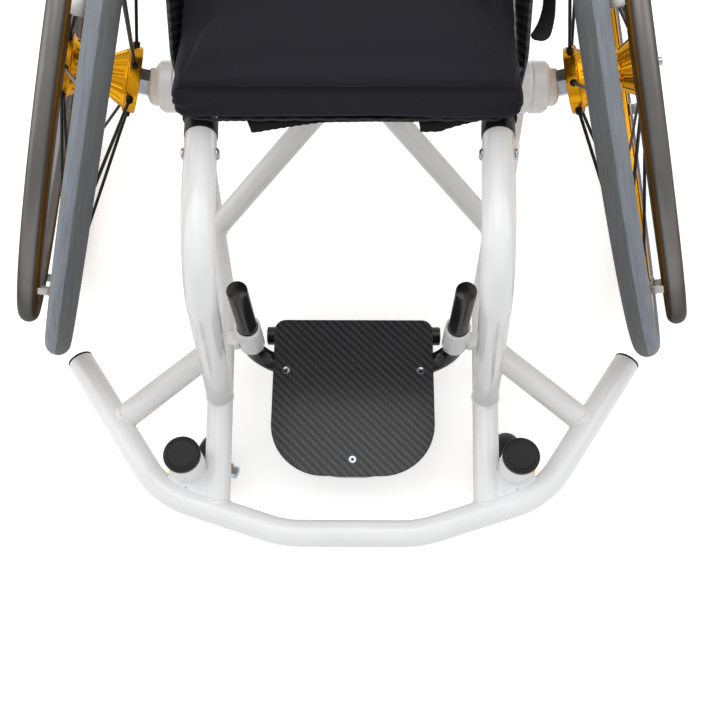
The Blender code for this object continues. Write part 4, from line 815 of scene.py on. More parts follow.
def build_frame():
    corners = [(*corner, FRAME_Z) for corner in (BUMPER_END, BUMPER_SHOULDER, BUMPER_NOSE)]
    bumper = symmetric(corners, (SHOULDER_BEND, NOSE_BEND))
    tube("bumper", bumper, FRAME_RADIUS, "white", "front_bumper")
    welds = bmesh.new()
    camber = [axle_point(-CAMBER_TUBE_END), axle_point(CAMBER_TUBE_END)]
    tube("camber_bar", camber, CAMBER_TUBE_RADIUS, "white", "camber_tube", sides=56)
    rails = {}
    for name, side in SIDES:
        front = at_height(bumper, side, 0, side * RAIL_FRONT_X)
        level = [(side * x, y, FRAME_Z) for x, y in (RAIL_KNEE, RAIL_HIP, RAIL_REAR)]
        corners = [front, *level, upright_point(side, UPRIGHT_BEND_Z), upright_point(side, UPRIGHT_TOP_Z)]
        rail = rounded(corners, (KNEE_BEND, HIP_BEND, REAR_BEND, UPRIGHT_BEND))
        rails[side] = rail
        mouth = (SEAT_RAIL_RADIUS + GAP, POST_PLUG)
        tube("rail_" + name, rail, FRAME_RADIUS, "white", "lower_rail_" + name, mouth_end=mouth)
        add_weld(welds, rail[0], rail[1], FRAME_RADIUS, (bumper, FRAME_RADIUS))

        foot = at_height(rail, side, 1, MAIN_FOOT_Y)
        main = rounded([seat_point(side, SEAT_FRONT[1]), seat_point(side, MAIN_CORNER_Y), foot], (MAIN_BEND,))
        mouth = (SEAT_RAIL_RADIUS + GAP, PLUG_DEPTH)
        tube("main_" + name, main, FRAME_RADIUS, "white", "main_tube_" + name, mouth_start=mouth)
        add_weld(welds, main[-1], main[-2], FRAME_RADIUS, (rail, FRAME_RADIUS))

        sleeve = [axle_point(side * SLEEVE_START), axle_point(side * SLEEVE_END)]
        on_rail = (rail, FRAME_RADIUS)
        for kind, node, radius, start, end, at_start, at_end, bead in (
            ("strut_", "wing_strut_", FRAME_RADIUS, at_height(rail, side, 1, STRUT_RAIL_Y),
             at_height(bumper, side, 0, side * STRUT_BUMPER_X), on_rail, (bumper, FRAME_RADIUS), 0.0036),
            ("brace_", "v_brace_", BRACE_RADIUS, axle_point(side * BRACE_TOP_X), at_height(rail, side, 1, BRACE_FOOT_Y),
             (camber, CAMBER_TUBE_RADIUS), on_rail, 0.0036),
            ("upright_", "axle_upright_", BRACE_RADIUS, at_height(rail, side, 1, 0.0), axle_point(side * UPRIGHT_TOP_X),
             on_rail, (sleeve, SLEEVE_RADIUS), 0.0050),
        ):
            tube(kind + name, [start, end], radius, "white", node + name)
            add_weld(welds, start, end, radius, at_start)
            add_weld(welds, end, start, radius, at_end, bead)
        build_sleeve(name, side)
        build_barrel(name, side, rail, bumper)
        build_foot_sleeve(name, side, rail)
        build_bumper_cap(name, side, bumper)

        rear = upright_point(side, seat_point(side, RAIL_REAR[1]).z).y
        run = [seat_point(side, SEAT_FRONT[1] - PLUG_DEPTH), seat_point(side, rear)]
        tube("seat_bar_" + name, run, SEAT_RAIL_RADIUS, "black_tube", "seat_rail_" + name)
        collar = [seat_point(side, SEAT_FRONT[1] - COLLAR_LAP), seat_point(side, SEAT_FRONT[1] + COLLAR_REACH)]
        thing = tube("seat_collar_" + name, collar, FRAME_RADIUS + COLLAR_WALL, "black_plastic", edge=0.0004)
        post = [upright_point(side, UPRIGHT_TOP_Z - POST_PLUG), upright_point(side, POST_TOP_Z)]
        tube("back_post_" + name, post, SEAT_RAIL_RADIUS, "black_tube", "backrest_post_" + name, edge=0.003)
        build_guard(name, side)
        bolts = bmesh.new()
        place = seat_point(side, SEAT_FRONT[1] - SEAT_BOLT_AHEAD)
        for out in (Vector((-1.0, 0.0, 0.0)), Vector((1.0, 0.0, 0.0))):
            add_prism(bolts, place + out * (FRAME_RADIUS - BOLT_SINK), out, *SEAT_BOLT, edge=0.0012)
        add("seat_bolts_" + name, bolts, "steel", slot="silver_steel")
    post = upright_point(1, BACK_BAR_Z)
    bar = symmetric([post, (BACK_BAR_CORNER_X, post.y + BACK_BAR_SET_BACK, BACK_BAR_Z)], (BACK_BAR_BEND,))
    tube("back_bar", bar, BACK_BAR_RADIUS, "black_tube", "backrest_bar")
    ends = [at_height(rails[side], side, 1, CROSS_TUBE_Y) for side in (-1, 1)]
    tube("cross_bar", ends, BRACE_RADIUS, "white", "rear_cross_tube")
    add_weld(welds, ends[0], ends[1], BRACE_RADIUS, (rails[-1], FRAME_RADIUS))
    add_weld(welds, ends[1], ends[0], BRACE_RADIUS, (rails[1], FRAME_RADIUS))
    form = bmesh.new()
    radius, foot = ANTI_TIP_BARREL_RADIUS, Vector((0.0, ANTI_TIP_Y, 0.0))
    add_barrel(form, ANTI_TIP_BORE, radius, ANTI_TIP_BARREL_LOW, ANTI_TIP_BARREL_HIGH, 0.0015, 64, foot)
    arm = [Vector((0.0, CROSS_TUBE_Y, FRAME_Z)), Vector((0.0, ANTI_TIP_Y - ANTI_TIP_ARM_STOP, FRAME_Z))]
    sweep(form, arm, ANTI_TIP_ARM_RADIUS)
    add("tip_arm", form, "white", node="anti_tip_arm")
    add_weld(welds, arm[0], arm[1], ANTI_TIP_ARM_RADIUS, (ends, BRACE_RADIUS))
    add_weld(welds, arm[1], arm[0], ANTI_TIP_ARM_RADIUS, ([foot, foot + UP * 0.2], radius))
    add("weld_beads", welds, "white", slot="white_paint")


def build_sleeve(name, side):
    turn = CHAIR @ shift((0.0, 0.0, CAMBER_TUBE_Z)) @ spin(side * tau / 4, "Y")
    rib = SLEEVE_STEP - SLEEVE_RIB
    profile = [
        (0.0, SLEEVE_END), (SLEEVE_SMALL_RADIUS - 0.003, SLEEVE_END), (SLEEVE_SMALL_RADIUS, SLEEVE_END - 0.004),
        (SLEEVE_SMALL_RADIUS, SLEEVE_STEP), (SLEEVE_RADIUS - 0.004, SLEEVE_STEP), (SLEEVE_RADIUS, SLEEVE_STEP - 0.005),
        (SLEEVE_RADIUS, rib), (SLEEVE_RADIUS - RIB_DEPTH, rib - 0.001), (SLEEVE_RADIUS - RIB_DEPTH, rib - 0.003),
        (SLEEVE_RADIUS, rib - 0.004), (SLEEVE_RADIUS, SLEEVE_START), (CAMBER_TUBE_RADIUS + GAP, SLEEVE_START),
        (CAMBER_TUBE_RADIUS + GAP, CAMBER_TUBE_END + GAP), (0.0, CAMBER_TUBE_END + GAP),
    ]
    profile = softened(profile, 0.0016, 4)
    piece = turned("sleeve_" + name, profile, 96, "sleeve", matrix=turn, node="axle_sleeve_" + name)
    face = HUB_FACE_IN - GAP
    nut_end = face - NUT_LENGTH
    for start, radius, end, sides in ((PIN_END, AXLE_RADIUS, nut_end, 32), (nut_end, NUT_RADIUS, face, 48)):
        cutter = bmesh.new()
        add_prism(cutter, (0.0, 0.0, start - GAP), UP, radius + GAP, end - start + GAP, sides, 0.0)
        bmesh.ops.transform(cutter, matrix=turn.inverted() @ WHEELS[name], verts=cutter.verts)
        cut(piece, cutter)


def build_barrel(name, side, rail, bumper):
    centre = Vector((side * CASTER_X, CASTER_Y, 0.0))
    form = bmesh.new()
    add_barrel(form, BARREL_BORE, BARREL_RADIUS, BARREL_LOW, BARREL_HIGH, 0.0015, 96, centre)
    middle = centre + UP * FRAME_Z
    outward = Vector((side * (BUMPER_SHOULDER[0] - CASTER_X), BUMPER_SHOULDER[1] - CASTER_Y, 0.0)).normalized()
    ends = ((outward, nearest(bumper, middle)), ((rail[0] - middle).normalized(), rail[0]))
    for (way, end), wide in zip(ends, BARREL_WEB_WIDTHS):
        start = middle + way * (BARREL_BORE + SLEEVE_WALL)
        along = end - start
        turn = spin(math.atan2(along.y, along.x))
        add_block(form, (along.length, WEB_WIDTH * wide, WEB_THICKNESS), start + along / 2, turn, 0.002)
    add("barrel_" + name, form, "white", node="caster_barrel_" + name)
    low = BARREL_HIGH + GAP
    top = low + CAP_HEIGHT
    cap = [
        (0.0, top - 0.0012), (CAP_RADIUS - 0.0052, top - 0.0010), (CAP_RADIUS - 0.0044, top - 0.0003),
        (CAP_RADIUS - 0.0032, top), (CAP_RADIUS, top - 0.0016), (CAP_RADIUS, low), (0.008, low),
        (0.008, BARREL_HIGH - 0.006), (0.0, BARREL_HIGH - 0.006),
    ]
    place = CHAIR @ shift(centre)
    turned("stem_cap_" + name, softened(cap, 0.0014, 4), 96, "black_plastic", matrix=place, node="caster_cap_" + name)


def build_foot_sleeve(name, side, rail):
    form = bmesh.new()
    inner, outer = POST_RADIUS + GAP, POST_RADIUS + SLEEVE_WALL
    add_barrel(form, inner, outer, FOOT_SLEEVE_LOW, FOOT_SLEEVE_HIGH, 0.0012, 72, (side * POST_X, POST_Y, 0.0))
    rail_x = abs(at_height(rail, side, 1, POST_Y)[0])
    start = POST_X + POST_RADIUS + SLEEVE_WALL / 2
    middle = (side * (start + rail_x) / 2, POST_Y, FOOT_SLEEVE_LOW + GAP + LUG_HEIGHT / 2)
    add_block(form, (rail_x - start, LUG_WIDTH, LUG_HEIGHT), middle, None, 0.003)
    add("foot_socket_" + name, form, "white", node="foot_sleeve_" + name)


def build_bumper_cap(name, side, bumper):
    end, inner = (0, 1) if side < 0 else (-1, -2)
    outward = (bumper[end] - bumper[inner]).normalized()
    turn = shift(bumper[end]) @ outward.to_track_quat("Z", "X").to_matrix().to_4x4()
    top = GAP + CAP_THICKNESS
    profile = [
        (0.0, top), (FRAME_RADIUS - 0.0016, top - 0.0001), (FRAME_RADIUS, top - 0.0006),
        (FRAME_RADIUS, GAP), (CAP_BORE_RADIUS, GAP), (CAP_BORE_RADIUS, -0.004), (0.0, -0.004),
    ]
    place, node = CHAIR @ turn, "bumper_cap_" + name
    turned("end_cap_" + name, softened(profile, 0.0005), 64, "black_plastic", matrix=place, node=node)


def guard_plane_x(y):
    return seat_point(1, y).x + SEAT_RAIL_RADIUS + GUARD_STAND_OFF + GUARD_THICKNESS / 2


def build_guard(name, side):
    lower = [(y, seat_point(1, y).z - GUARD_BELOW_RAIL) for y in (GUARD_OUTLINE[-1][0], GUARD_OUTLINE[0][0])]
    outline = rounded((*GUARD_OUTLINE, *lower), (*GUARD_CORNERS, GUARD_LOWER_CORNER, GUARD_LOWER_CORNER), closed=True)
    along = Vector((side * SEAT_SPREAD, 1.0, 0.0))
    turn = Matrix((along, UP, along.cross(UP).normalized())).transposed().to_4x4()
    turn.translation = (side * guard_plane_x(0.0), 0.0, 0.0)
    form = plate_form(outline[::-1], GUARD_THICKNESS)
    add("guard_" + name, form, "carbon", matrix=CHAIR @ turn, node="side_guard_" + name)
    form = bmesh.new()
    out = Vector((side, 0.0, 0.0))
    for y in GUARD_BOSS_Y:
        rail = seat_point(side, y)
        face = Vector((side * guard_plane_x(y), y, rail.z))
        length = (face - rail).length - GUARD_BOSS_START
        add_prism(form, rail + out * GUARD_BOSS_START, out, GUARD_BOSS_RADIUS, length)
        add_prism(form, face + out * (GUARD_THICKNESS / 2 - 0.0002), out, *GUARD_BOLT, edge=0.0010)
    add("guard_fixings_" + name, form, "steel", slot="silver_steel")


def build_strap():
    """A loose strap end that hangs outside the right guard, held by a stud on the guard."""
    anchor = Vector((guard_plane_x(STRAP_END[0]) + GUARD_THICKNESS / 2, *STRAP_END))
    line = bend_through([Vector(point) for point in STRAP_PATH] + [anchor + Vector((0.0012, 0.0, 0.0))], 60)
    form = bmesh.new()
    rings = []
    run = 0.0
    for index, (point, (ahead, _, _)) in enumerate(zip(line, frames_along(line))):
        run += (point - line[index - 1]).length if index else 0.0
        tip = min(1.0, (run + 0.0006) / STRAP_WIDTH * 2)
        half = STRAP_WIDTH / 2 * math.sqrt(max(0.02, 1 - (1 - tip) ** 2))
        tilt = radians(90.0 - 80.0 * (1 - index / (len(line) - 1)) ** 1.5)
        level = ahead.cross(UP).normalized()
        across = level * cos(tilt) + level.cross(ahead) * sin(tilt)
        out = ahead.cross(across).normalized() * STRAP_THICKNESS / 2
        rings.append([form.verts.new(point + out * s + across * half * c) for s, c in (
            (-1, -0.96), (0, -1), (1, -0.96), (1, 0), (1, 0.96), (0, 1), (-1, 0.96), (-1, 0))])
    skin(form, rings)
    form.faces.new(rings[0])
    form.faces.new(rings[-1])
    add("strap_right", form, "webbing_band", slot="seat_cloth", sharp=50.0)
    stud = bmesh.new()
    add_prism(stud, anchor - Vector((0.0005, 0.0, 0.0)), (1, 0, 0), *STRAP_STUD, edge=0.0012)
    add("strap_stud", stud, "steel", slot="silver_steel")


# Wheels

def build_wheel(name):
    where = (name + "_wheel", WHEELS[name])
    seat = math.pi - math.asin(TYRE_SEAT_HALF_WIDTH / TYRE_RADIUS)
    profile = arc(TYRE_RING, 0.0, TYRE_RADIUS, TYRE_RADIUS, seat, -seat, 32)
    turned("tread_" + name, profile, 220, "tyre", *where, "tyre_" + name, closed=True, sharp=50.0)
    chamfer = (RIM_INNER_RADIUS + RIM_CHAMFER, RIM_HALF_WIDTH)
    profile = mirrored([(RIM_INNER_RADIUS, RIM_INNER_HALF_WIDTH), chamfer, (RIM_RADIUS, RIM_HALF_WIDTH)])
    turned("hoop_" + name, softened(profile, 0.0022, 3, True), 220, "gold", *where, "rim_" + name, closed=True)
    profile = arc(HANDRIM_RADIUS, HANDRIM_OFFSET, HANDRIM_TUBE, HANDRIM_TUBE, 0.0, tau, 28)[:-1]
    turned("push_ring_" + name, profile, 220, "titanium", *where, "handrim_" + name, closed=True)
    legs, bolts = bmesh.new(), bmesh.new()
    low = RIM_HALF_WIDTH + GAP
    for index in range(TAB_COUNT):
        turn = spin(TAB_ANGLES[name] + tau * index / TAB_COUNT)
        middle = turn @ Vector((TAB_RADIUS, 0.0, (low + TAB_TOP) / 2))
        add_block(legs, (*TAB_LEG, TAB_TOP - low), middle, turn, 0.0008)
        foot = turn @ Vector((TAB_RADIUS - TAB_FOOT_SHIFT, 0.0, low + TAB_FOOT[2] / 2))
        add_block(legs, TAB_FOOT, foot, turn, 0.0007)
        spot = turn @ Vector((TAB_RADIUS - TAB_BOLT_SHIFT, 0.0, low + TAB_FOOT[2] - 0.0001))
        add_prism(bolts, spot, UP, *TAB_BOLT, 24, 0.0007)
    add("ring_tabs_" + name, legs, "tab_steel", *where, slot="titanium")
    add("tab_bolts_" + name, bolts, "steel", *where, slot="silver_steel")
    build_hub(name, where)


def build_hub(name, where):
    bore, bearing = AXLE_RADIUS + AXLE_CLEARANCE, BEARING_RADIUS + GAP
    seat = HUB_FACE_IN + BEARING_WIDTH + GAP
    inner, outer = HUB_FACE_IN + FLANGE_WIDTH, HUB_FACE_OUT - FLANGE_WIDTH_OUT
    profile = [
        (bore, HUB_FACE_OUT), (FLANGE_RADIUS_OUT, HUB_FACE_OUT), (FLANGE_RADIUS_OUT, outer), (NECK_RADIUS, outer),
        (WAIST_RADIUS, WAIST[1]), (WAIST_RADIUS, WAIST[0]), (NECK_RADIUS, inner), (FLANGE_RADIUS, inner),
        (FLANGE_RADIUS, HUB_FACE_IN), (bearing, HUB_FACE_IN), (bearing, seat), (bore, seat),
    ]
    piece = turned("spool_" + name, softened(profile, 0.0011, 2, True), 120, "gold", *where, "hub_" + name, closed=True)
    first = SPOKE_ANGLES[name]
    second = first + tau / 2 / SPOKES_PER_FLANGE
    cutter = bmesh.new()
    for start, wide, narrow in (
        (first, inner + FLUTE_MARGIN, WAIST[0] - FLUTE_MARGIN),
        (second, outer - FLUTE_MARGIN, WAIST[1] + FLUTE_MARGIN),
    ):
        drop = (NECK_RADIUS - WAIST_RADIUS) / (abs(wide - narrow) + 2 * FLUTE_MARGIN) * FLUTE_MARGIN
        lift = FLUTE_RADIUS - FLUTE_DEPTH
        for index in range(FLUTE_COUNT):
            angle = start + tau * (index + 0.5) / FLUTE_COUNT
            outward = Vector((cos(angle), sin(angle), 0.0))
            top = outward * (NECK_RADIUS - drop + lift) + UP * wide
            along = outward * (WAIST_RADIUS + drop + lift) + UP * narrow - top
            add_prism(cutter, top, along, FLUTE_RADIUS, along.length, 32, 0.0)
    cut(piece, cutter)
    spokes, heads = bmesh.new(), bmesh.new()
    for start, offset, radius in (
        (first, HUB_FACE_IN + FLANGE_WIDTH / 2, FLANGE_RADIUS),
        (second, HUB_FACE_OUT - FLANGE_WIDTH_OUT / 2, FLANGE_RADIUS_OUT),
    ):
        for index in range(SPOKES_PER_FLANGE):
            angle = start + tau * index / SPOKES_PER_FLANGE
            along = Vector((cos(angle), sin(angle), 0.0))
            root = along * SPOKE_ROOT + UP * offset
            end = along * (RIM_INNER_RADIUS + 0.001)
            sweep(spokes, [root, end], SPOKE_RADIUS, 16, edge=0.0003)
            way = (end - root).normalized()
            add_prism(heads, root + way * (radius - SPOKE_ROOT - 0.001), way, *SPOKE_HEAD, 24, 0.0010)
            add_prism(heads, end - way * SPOKE_NIPPLE[1], way, *SPOKE_NIPPLE, 12, 0.0006)
    add("spokes_" + name, spokes, "black_steel", *where, slot="gold_anodised")
    add("spoke_ends_" + name, heads, "black_steel", *where, slot="gold_anodised")
    dress("hub_bearing_" + name, "steel", 0.0004)
    dress("axle_pin_" + name, "steel", 0.0008, 3)
    dress("release_button_" + name, "steel", 0.0004)


def caster_wheel(name, node, body, matrix, radius, width):
    half = width / 2
    round_over = half * ROLLER_ROUND
    inner, shoulder = radius - ROLLER_BAND, radius - half * ROLLER_SHOULDER
    ring = arc(radius - round_over, 0.0, round_over, half, tau / 4, -tau / 4, 8)
    ring = [(inner, half - 0.003), (shoulder, half), *ring, (shoulder, -half), (inner, 0.003 - half)]
    turn = matrix @ spin(tau / 4, "Y")
    turned("roller_" + name, ring, 96, "caster", body, turn, node, closed=True)
    bore = CASTER_AXLE_RADIUS + GAP
    core = [(bore, half - 0.0002), (ROLLER_BOSS, half - 0.0002), (ROLLER_BOSS, half - 0.0030)]
    core += [(inner - 0.004, half - 0.0045)]
    core = softened(mirrored([*core, (inner, half - 0.0025)]), 0.0008, 2, True)
    turned("roller_core_" + name, core, 64, "core", body, turn, closed=True, slot="caster_tyre")


def build_casters():
    for name, side in SIDES:
        swivel = CHAIR @ shift((side * CASTER_X, CASTER_Y, 0.0)) @ spin(CASTER_TURN[name])
        place = swivel @ shift((0.0, CASTER_TRAIL, CASTER_RADIUS))
        caster_wheel(name, "caster_wheel_" + name, name + "_caster_wheel", place, CASTER_RADIUS, CASTER_WIDTH)
        spacers = bmesh.new()
        for out in (-1, 1):
            start = (out * (CASTER_WIDTH / 2 - 0.0005), 0, 0)
            add_prism(spacers, start, (out, 0, 0), SPACER_RADIUS, CASTER_SIDE_GAP + 0.0004, 24)
        add("spacers_" + name, spacers, "steel", name + "_caster", place, slot="silver_steel")
        dress("caster_fork_" + name, "gold", 0.0012, 3)
        dress("caster_axle_" + name, "steel", 0.0007)
    place = CHAIR @ shift((0.0, ANTI_TIP_Y + ANTI_TIP_TRAIL, ANTI_TIP_RADIUS + ANTI_TIP_FLOOR_GAP))
    caster_wheel("tip", "anti_tip_wheel", "anti_tip_roller", place, ANTI_TIP_RADIUS, ANTI_TIP_WIDTH)
    dress("anti_tip_fork", "black_tube", 0.0010, 3)
    dress("anti_tip_axle", "steel", 0.0006)


# Footrest

def build_footrest():
    corners = [(POST_X, POST_Y, POST_TOP), (POST_X, POST_Y, HOOP_Z), (*HOOP_SIDE, HOOP_Z), (*HOOP_FRONT, HOOP_Z)]
    run = symmetric(corners, (HOOP_BEND, HOOP_SIDE_BEND, HOOP_FRONT_BEND))
    tube("foot_hoop", run, POST_RADIUS, "black_tube", "footrest_tube", "footrest", edge=0.0015)
    level = PLATE_LOW - GAP - HEEL_BAR_RADIUS
    ends = [Vector((side * HEEL_BAR_HALF_LENGTH, HEEL_BAR_Y, level)) for _, side in SIDES]
    tube("heel_rod", ends, HEEL_BAR_RADIUS, "black_tube", "heel_bar", "footrest", edge=0.0015)
    corners = [(PLATE_HALF_WIDTH, PLATE_REAR_Y), (PLATE_HALF_WIDTH, PLATE_FRONT_Y)]
    outline = symmetric(corners, (PLATE_REAR_CORNER, PLATE_FRONT_CORNER), closed=True)
    turn = CHAIR @ shift((0.0, 0.0, PLATE_LOW + PLATE_THICKNESS / 2))
    add("foot_plate", plate_form(outline, PLATE_THICKNESS), "carbon", "footrest", turn, "footplate")
    form = bmesh.new()
    for x, y in PLATE_SCREWS:
        lathe(form, SCREW_PROFILE, 32, False, shift((x, y, PLATE_LOW + PLATE_THICKNESS)))
    add("plate_screws", form, "steel", "footrest", CHAIR, slot="silver_steel")


# Cloth pieces

def sheet_section(left, right, facing, radius, sag, count=40):
    wrap = [SHEET_WRAP * (1 - step / 14) for step in range(15)]
    outward = (right - left).normalized()
    first = [left + radius * (facing * cos(a) - outward * sin(a)) for a in wrap]
    last = [right + radius * (facing * cos(a) + outward * sin(a)) for a in reversed(wrap)]
    shares = [step / count for step in range(1, count)]
    return first + [left.lerp(right, s) + facing * (radius - sag * 4 * s * (1 - s)) for s in shares] + last


def cloth_sheet(name, node, point, low, high, facing, sag, thickness, ripple, count=24):
    """A sewn sheet round two bars, with bound edges, seams and slight tension folds from the bars."""
    places = [low + (high - low) * step / count for step in range(count + 1)]
    stations = [(point(-1, place), point(1, place)) for place in places]
    facing = Vector(facing).normalized()
    form = bmesh.new()
    rows = []
    for index, station in enumerate(stations):
        section = sheet_section(*station, facing, SHEET_RADIUS, sag)
        row = []
        for spot, point in enumerate(section):
            across = spot / (len(section) - 1)
            inside = sin(tau / 2 * min(1.0, max(0.0, (across - 0.22) / 0.56)))
            wave = noise.noise(Vector((across * 7.0, index / count * 5.0, 3.7))) * ripple * inside
            row.append(form.verts.new(point + facing * wave))
        rows.append(row)
    width = sum((a.co - b.co).length for a, b in zip(rows[0], rows[0][1:]))
    length = (rows[-1][20].co - rows[0][20].co).length
    skin(form, rows, lambda row, k: (k / (len(rows[0]) - 1) * width, row / count * length), around=False)
    bmesh.ops.recalc_face_normals(form, faces=form.faces)
    form.faces.ensure_lookup_table()
    if form.faces[len(rows[0]) // 2].normal.dot(facing) < 0:
        bmesh.ops.reverse_faces(form, faces=form.faces)
    thing = add(name, form, "sling_cloth", node=node, sharp=180.0, outward=False)
    given(thing.modifiers.new("cloth", "SOLIDIFY"), thickness=thickness, offset=1.0)
    edging = bmesh.new()
    for station in (stations[0], stations[-1]):
        line = sheet_section(*station, facing, SHEET_RADIUS + thickness / 2, sag)
        sweep(edging, line, BINDING_RADIUS, 14, edge=0.0004)
    for spot in SEAM_SPOTS:
        line = [sheet_section(*station, facing, SHEET_RADIUS + thickness, sag)[spot] for station in stations]
        sweep(edging, line, SEAM_RADIUS, 8, edge=0.0002)
    binding = add(name + "_binding", edging, "webbing", slot="seat_cloth")


def build_sheets():
    cloth_sheet(
        "sling", "seat_sling", seat_point, SLING_FRONT_Y, SLING_REAR_Y, (0.0, SEAT_DUMP, 1.0),
        SLING_SAG, SLING_THICKNESS, 0.0006)
    cloth_sheet(
        "back_sling", "backrest_upholstery", upright_point, BACK_LOW_Z, BACK_HIGH_Z,
        (0.0, -cos(LEAN), sin(LEAN)), BACK_SAG, BACK_THICKNESS, 0.0012)


def cushion_half_width(y):
    share = min(1.0, max(0.0, (y - CUSHION_FRONT_Y) / (CUSHION_TAPER_Y - CUSHION_FRONT_Y)))
    return CUSHION_FRONT_HALF_WIDTH + (CUSHION_HALF_WIDTH - CUSHION_FRONT_HALF_WIDTH) * share


def cushion_base(y):
    return seat_point(1, y).z + CUSHION_BASE


def cushion_point(across, along, layer):
    ring = min(1.0, (across ** 10 + along ** 10) ** 0.1)
    edge = math.sqrt(max(0.0, 1 - max(0.0, (ring - 0.86) / 0.14) ** 2))
    bulge = 1 - (2 * layer - 1) ** 2
    pull = CUSHION_PULL * (1 - (across * along) ** 4)
    inset = CUSHION_EDGE * 0.45 * (1 - bulge) ** 2 + SWELL
    half_y = (CUSHION_REAR_Y - CUSHION_FRONT_Y) / 2 - pull * (1 - across ** 4) - inset
    slope = CUSHION_FRONT_SLOPE * layer * max(0.0, -along) ** 3
    y = (CUSHION_FRONT_Y + CUSHION_REAR_Y) / 2 + along * half_y + slope
    x = across * (cushion_half_width(y) - pull * (1 - along ** 4) - inset)
    rise = CUSHION_CROWN * (1 - across ** 2) * (1 - along ** 2)
    height = layer * (CUSHION_THICKNESS + rise - CUSHION_EDGE * 0.5 * (1 - edge) - SWELL)
    return Vector((x, y, cushion_base(y) + height))


def inflate(thing):
    """Swells a padded piece with the cloth solver, its underside held, and keeps the result as plain mesh."""
    given(thing.modifiers.new("voxels", "REMESH"), mode="VOXEL", voxel_size=0.005)
    bake(thing)
    held = thing.vertex_groups.new(name="held")
    for vert in thing.data.vertices:
        if vert.co.z < cushion_base(vert.co.y) + 0.006:
            held.add([vert.index], 1.0, "REPLACE")
    before = [(vert.co.copy(), vert.normal.copy()) for vert in thing.data.vertices]
    cloth = given(
        thing.modifiers.new("swelling", "CLOTH").settings, quality=5, mass=0.3, tension_stiffness=30,
        compression_stiffness=30, bending_stiffness=0.6, use_pressure=True, uniform_pressure_force=4.0,
        vertex_group_mass="held")
    cloth.effector_weights.gravity = 0.0
    for step in range(1, 21):
        bpy.context.scene.frame_set(step)
    bake(thing)
    for vert, (start, normal) in zip(thing.data.vertices, before):
        move = vert.co - start
        inward = -move.dot(normal)
        if inward > FOAM_GIVE:
            move += normal * (inward - FOAM_GIVE)
        if move.length > SWELL_CAP:
            move *= SWELL_CAP / move.length
        vert.co = start + move
    bpy.context.scene.frame_set(1)
    fit(thing.data, 0, CUSHION_HALF_WIDTH, -CUSHION_HALF_WIDTH)
    fit(thing.data, 1, CUSHION_REAR_Y, CUSHION_FRONT_Y)


def fit(mesh, axis, high, low):
    """Stretches a swollen pad along one axis until it fills the width that its foam has."""
    places = [vert.co[axis] for vert in mesh.vertices]
    top, bottom = max(places), min(places)
    for vert in mesh.vertices:
        vert.co[axis] = low + (vert.co[axis] - bottom) * (high - low) / (top - bottom)


def crease(vert):
    """The fold below the front edge, pulls from the front corners and the soft ripples of a loose cover."""
    x, y, z = vert.co
    height = (z - cushion_base(y)) / CUSHION_THICKNESS
    half = cushion_half_width(y)
    front = max(0.0, min(1.0, (CUSHION_FRONT_Y + 0.035 - y) / 0.020))
    level = FOLD_LEVEL - 0.08 * (1 - (x / half) ** 2) + 0.03 * noise.noise(Vector((x * 14, 0.0, 2.0)))
    fold = math.exp(-((height - level) / (0.055 if height > level else 0.12)) ** 2) * FOLD_DEPTH * front
    reach = math.exp(-max(0.0, half - abs(x) - 0.004) / 0.016)
    wave = sin(height * 34 + 5 * noise.noise(Vector((x * 30, height * 3, 5.0))))
    flank = 1.0 if x > 0 else 0.75
    pull = 0.0020 * flank * reach * front * wave * max(0.0, 1 - abs(height - 0.45) / 0.5)
    cloth = noise.noise(Vector((x * 16, y * 22, z * 20))) * 0.0016
    long = noise.noise(Vector((x * 5, y * 34, z * 34 + 7))) * 0.0012
    return pull + cloth + long - fold


def build_cushion():
    form = bmesh.new()
    bmesh.ops.create_cube(form, size=2.0)
    for axis, count in enumerate((56, 56, 10)):
        for step in range(1, count):
            place, normal = Vector(), Vector()
            place[axis], normal[axis] = 2 * step / count - 1, 1.0
            everything = [*form.verts, *form.edges, *form.faces]
            bmesh.ops.bisect_plane(form, geom=everything, plane_co=place, plane_no=normal)
    for vert in form.verts:
        across, along, up = vert.co
        vert.co = cushion_point(across, along, (up + 1) / 2)
    piece = add("cushion", form, "seat_cloth", node="seat_cushion", sharp=180.0)
    inflate(piece)
    given(piece.modifiers.new("smooth", "SUBSURF"), levels=1, render_levels=1)
    bake(piece)
    moves = [(vert, vert.normal * crease(vert)) for vert in piece.data.vertices]
    for vert, move in moves:
        vert.co += move
        vert.co.x -= CUSHION_SHIFT
    piece.data.shade_smooth()

    seam = bmesh.new()
    path = []
    count = 80
    for step in range(count + 1):
        share = 2 * step / count - 1
        y = CUSHION_FRONT_Y + 0.0035 + 1.2 * max(0.0, abs(share) - 0.9) ** 2 - 0.0006 * sin(step * 1.1)
        x = share * (CUSHION_FRONT_HALF_WIDTH - 0.007) - CUSHION_SHIFT
        path.append(Vector((x, y, cushion_base(y) + 0.0006)))
    sweep(seam, path, HEM_RADIUS, 10, edge=0.0003)
    add("cushion_seam", seam, "seat_hem", slot="seat_cloth")


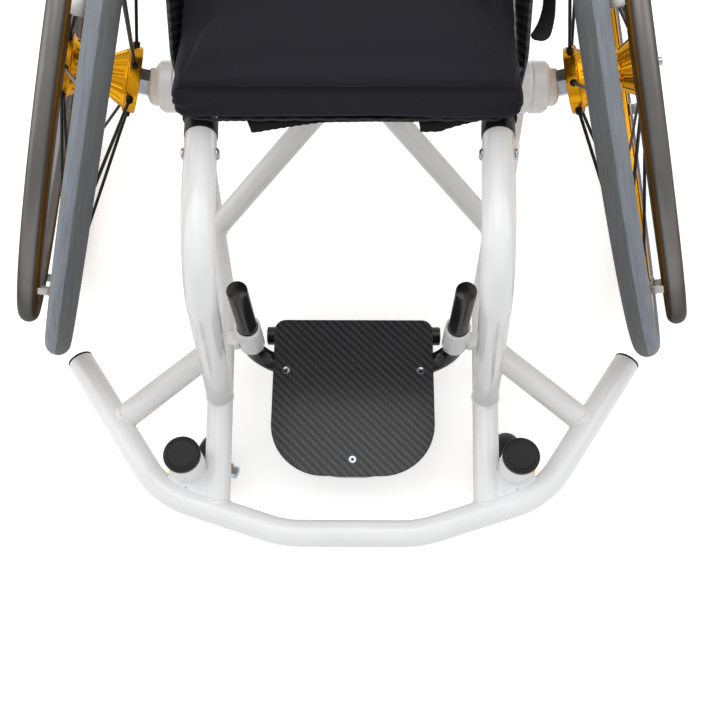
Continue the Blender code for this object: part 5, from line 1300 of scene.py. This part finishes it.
def build_flap():
    """The front end of the sling's fastening straps, which hang below the cushion between the seat bars."""
    form = bmesh.new()
    count, drops = 240, 8
    rows = []
    for step in range(count + 1):
        x = FLAP_LEFT + (FLAP_RIGHT - FLAP_LEFT) * step / count
        low = FLAP_LEVEL + 0.0004 * sin(x * 900)
        for start, peak, stop, drop in FLAP_TONGUES:
            if start <= x <= peak:
                low -= drop * min(1.0, (x - start) / 0.001)
            elif peak < x <= stop:
                low -= drop * (1 - ((x - peak) / (stop - peak)) ** 0.8)
        high = seat_point(1, SLING_FRONT_Y).z + SHEET_RADIUS - SLING_SAG * (1 - (x / 0.13) ** 2)
        row = []
        for share in (index / drops for index in range(drops + 1)):
            y = FLAP_Y + (SLING_FRONT_Y + 0.001 - FLAP_Y) * max(0.0, 1 - share * 3) ** 2
            y -= 0.0012 * share * noise.noise(Vector((x * 25, share, 9.0)))
            row.append(form.verts.new((x, y, high + (low - high) * share)))
        rows.append(row)
    width = FLAP_RIGHT - FLAP_LEFT
    skin(form, rows, lambda row, k: (row / count * width, k * 0.0025), around=False)
    area = sum(face.calc_area() for face in form.faces)
    flap = add("seat_flap", form, "webbing", slot="seat_cloth")
    given(flap.modifiers.new("cloth", "SOLIDIFY"), thickness=0.0012, offset=0.0)


# Camera, light and floor

def build_view():
    scene = bpy.context.scene
    place = shift(CAMERA_PLACE)
    for angle, axis in CAMERA_TURNS:
        place @= spin(radians(angle), axis)
    lens = given(bpy.data.cameras.new("camera"), sensor_width=36.0, lens=FOCAL_LENGTH * 36.0, clip_start=0.01)
    scene.camera = put("camera", lens, place)
    for name, place, size, power in LAMPS:
        lamp = given(bpy.data.lights.new(name, "AREA"), size=size, energy=power)
        aim = (Vector(LAMP_TARGET) - Vector(place)).to_track_quat("-Z", "Y")
        put(name, lamp, shift(place) @ aim.to_matrix().to_4x4())

    form = bmesh.new()
    bmesh.ops.create_grid(form, x_segments=2, y_segments=2, size=4.0)
    floor = make("floor", form, Matrix.Identity(4), outward=False)
    f = finish("pale_floor", Base_Color=(0.85, 0.85, 0.85), Roughness=0.9, Emission_Color=(1.0, 1.0, 1.0))
    in_gloss = f.times(f.node("LightPath", {}, "Is Glossy Ray"), FLOOR_IN_GLOSS)
    seen = f.math("MAXIMUM", f.node("LightPath", {}, "Is Camera Ray"), in_gloss)
    f.fill(f.end, {"Emission Strength": f.times(seen, FLOOR_GLOW)})
    floor.data.materials.append(f.owner)

    scene.world = bpy.data.worlds.new("studio")
    f = Finish(scene.world, "Background", Color=(1.0, 1.0, 1.0))
    seen = f.math("MAXIMUM", *(f.node("LightPath", {}, ray) for ray in ("Is Camera Ray", "Is Transmission Ray")))
    dome = f.node("MapRange", {"Value": f.parts("Generated")[2], **SKY})
    f.fill(f.end, {"Strength": f.node("Mix", {"Factor": seen, "A": dome, "B": 1.0})})
    scene.view_settings.view_transform = "Standard"


build_view()
build_frame()
for wheel_name, wheel_side in SIDES:
    build_wheel(wheel_name)
build_casters()
build_footrest()
build_sheets()
build_flap()
build_strap()
build_cushion()
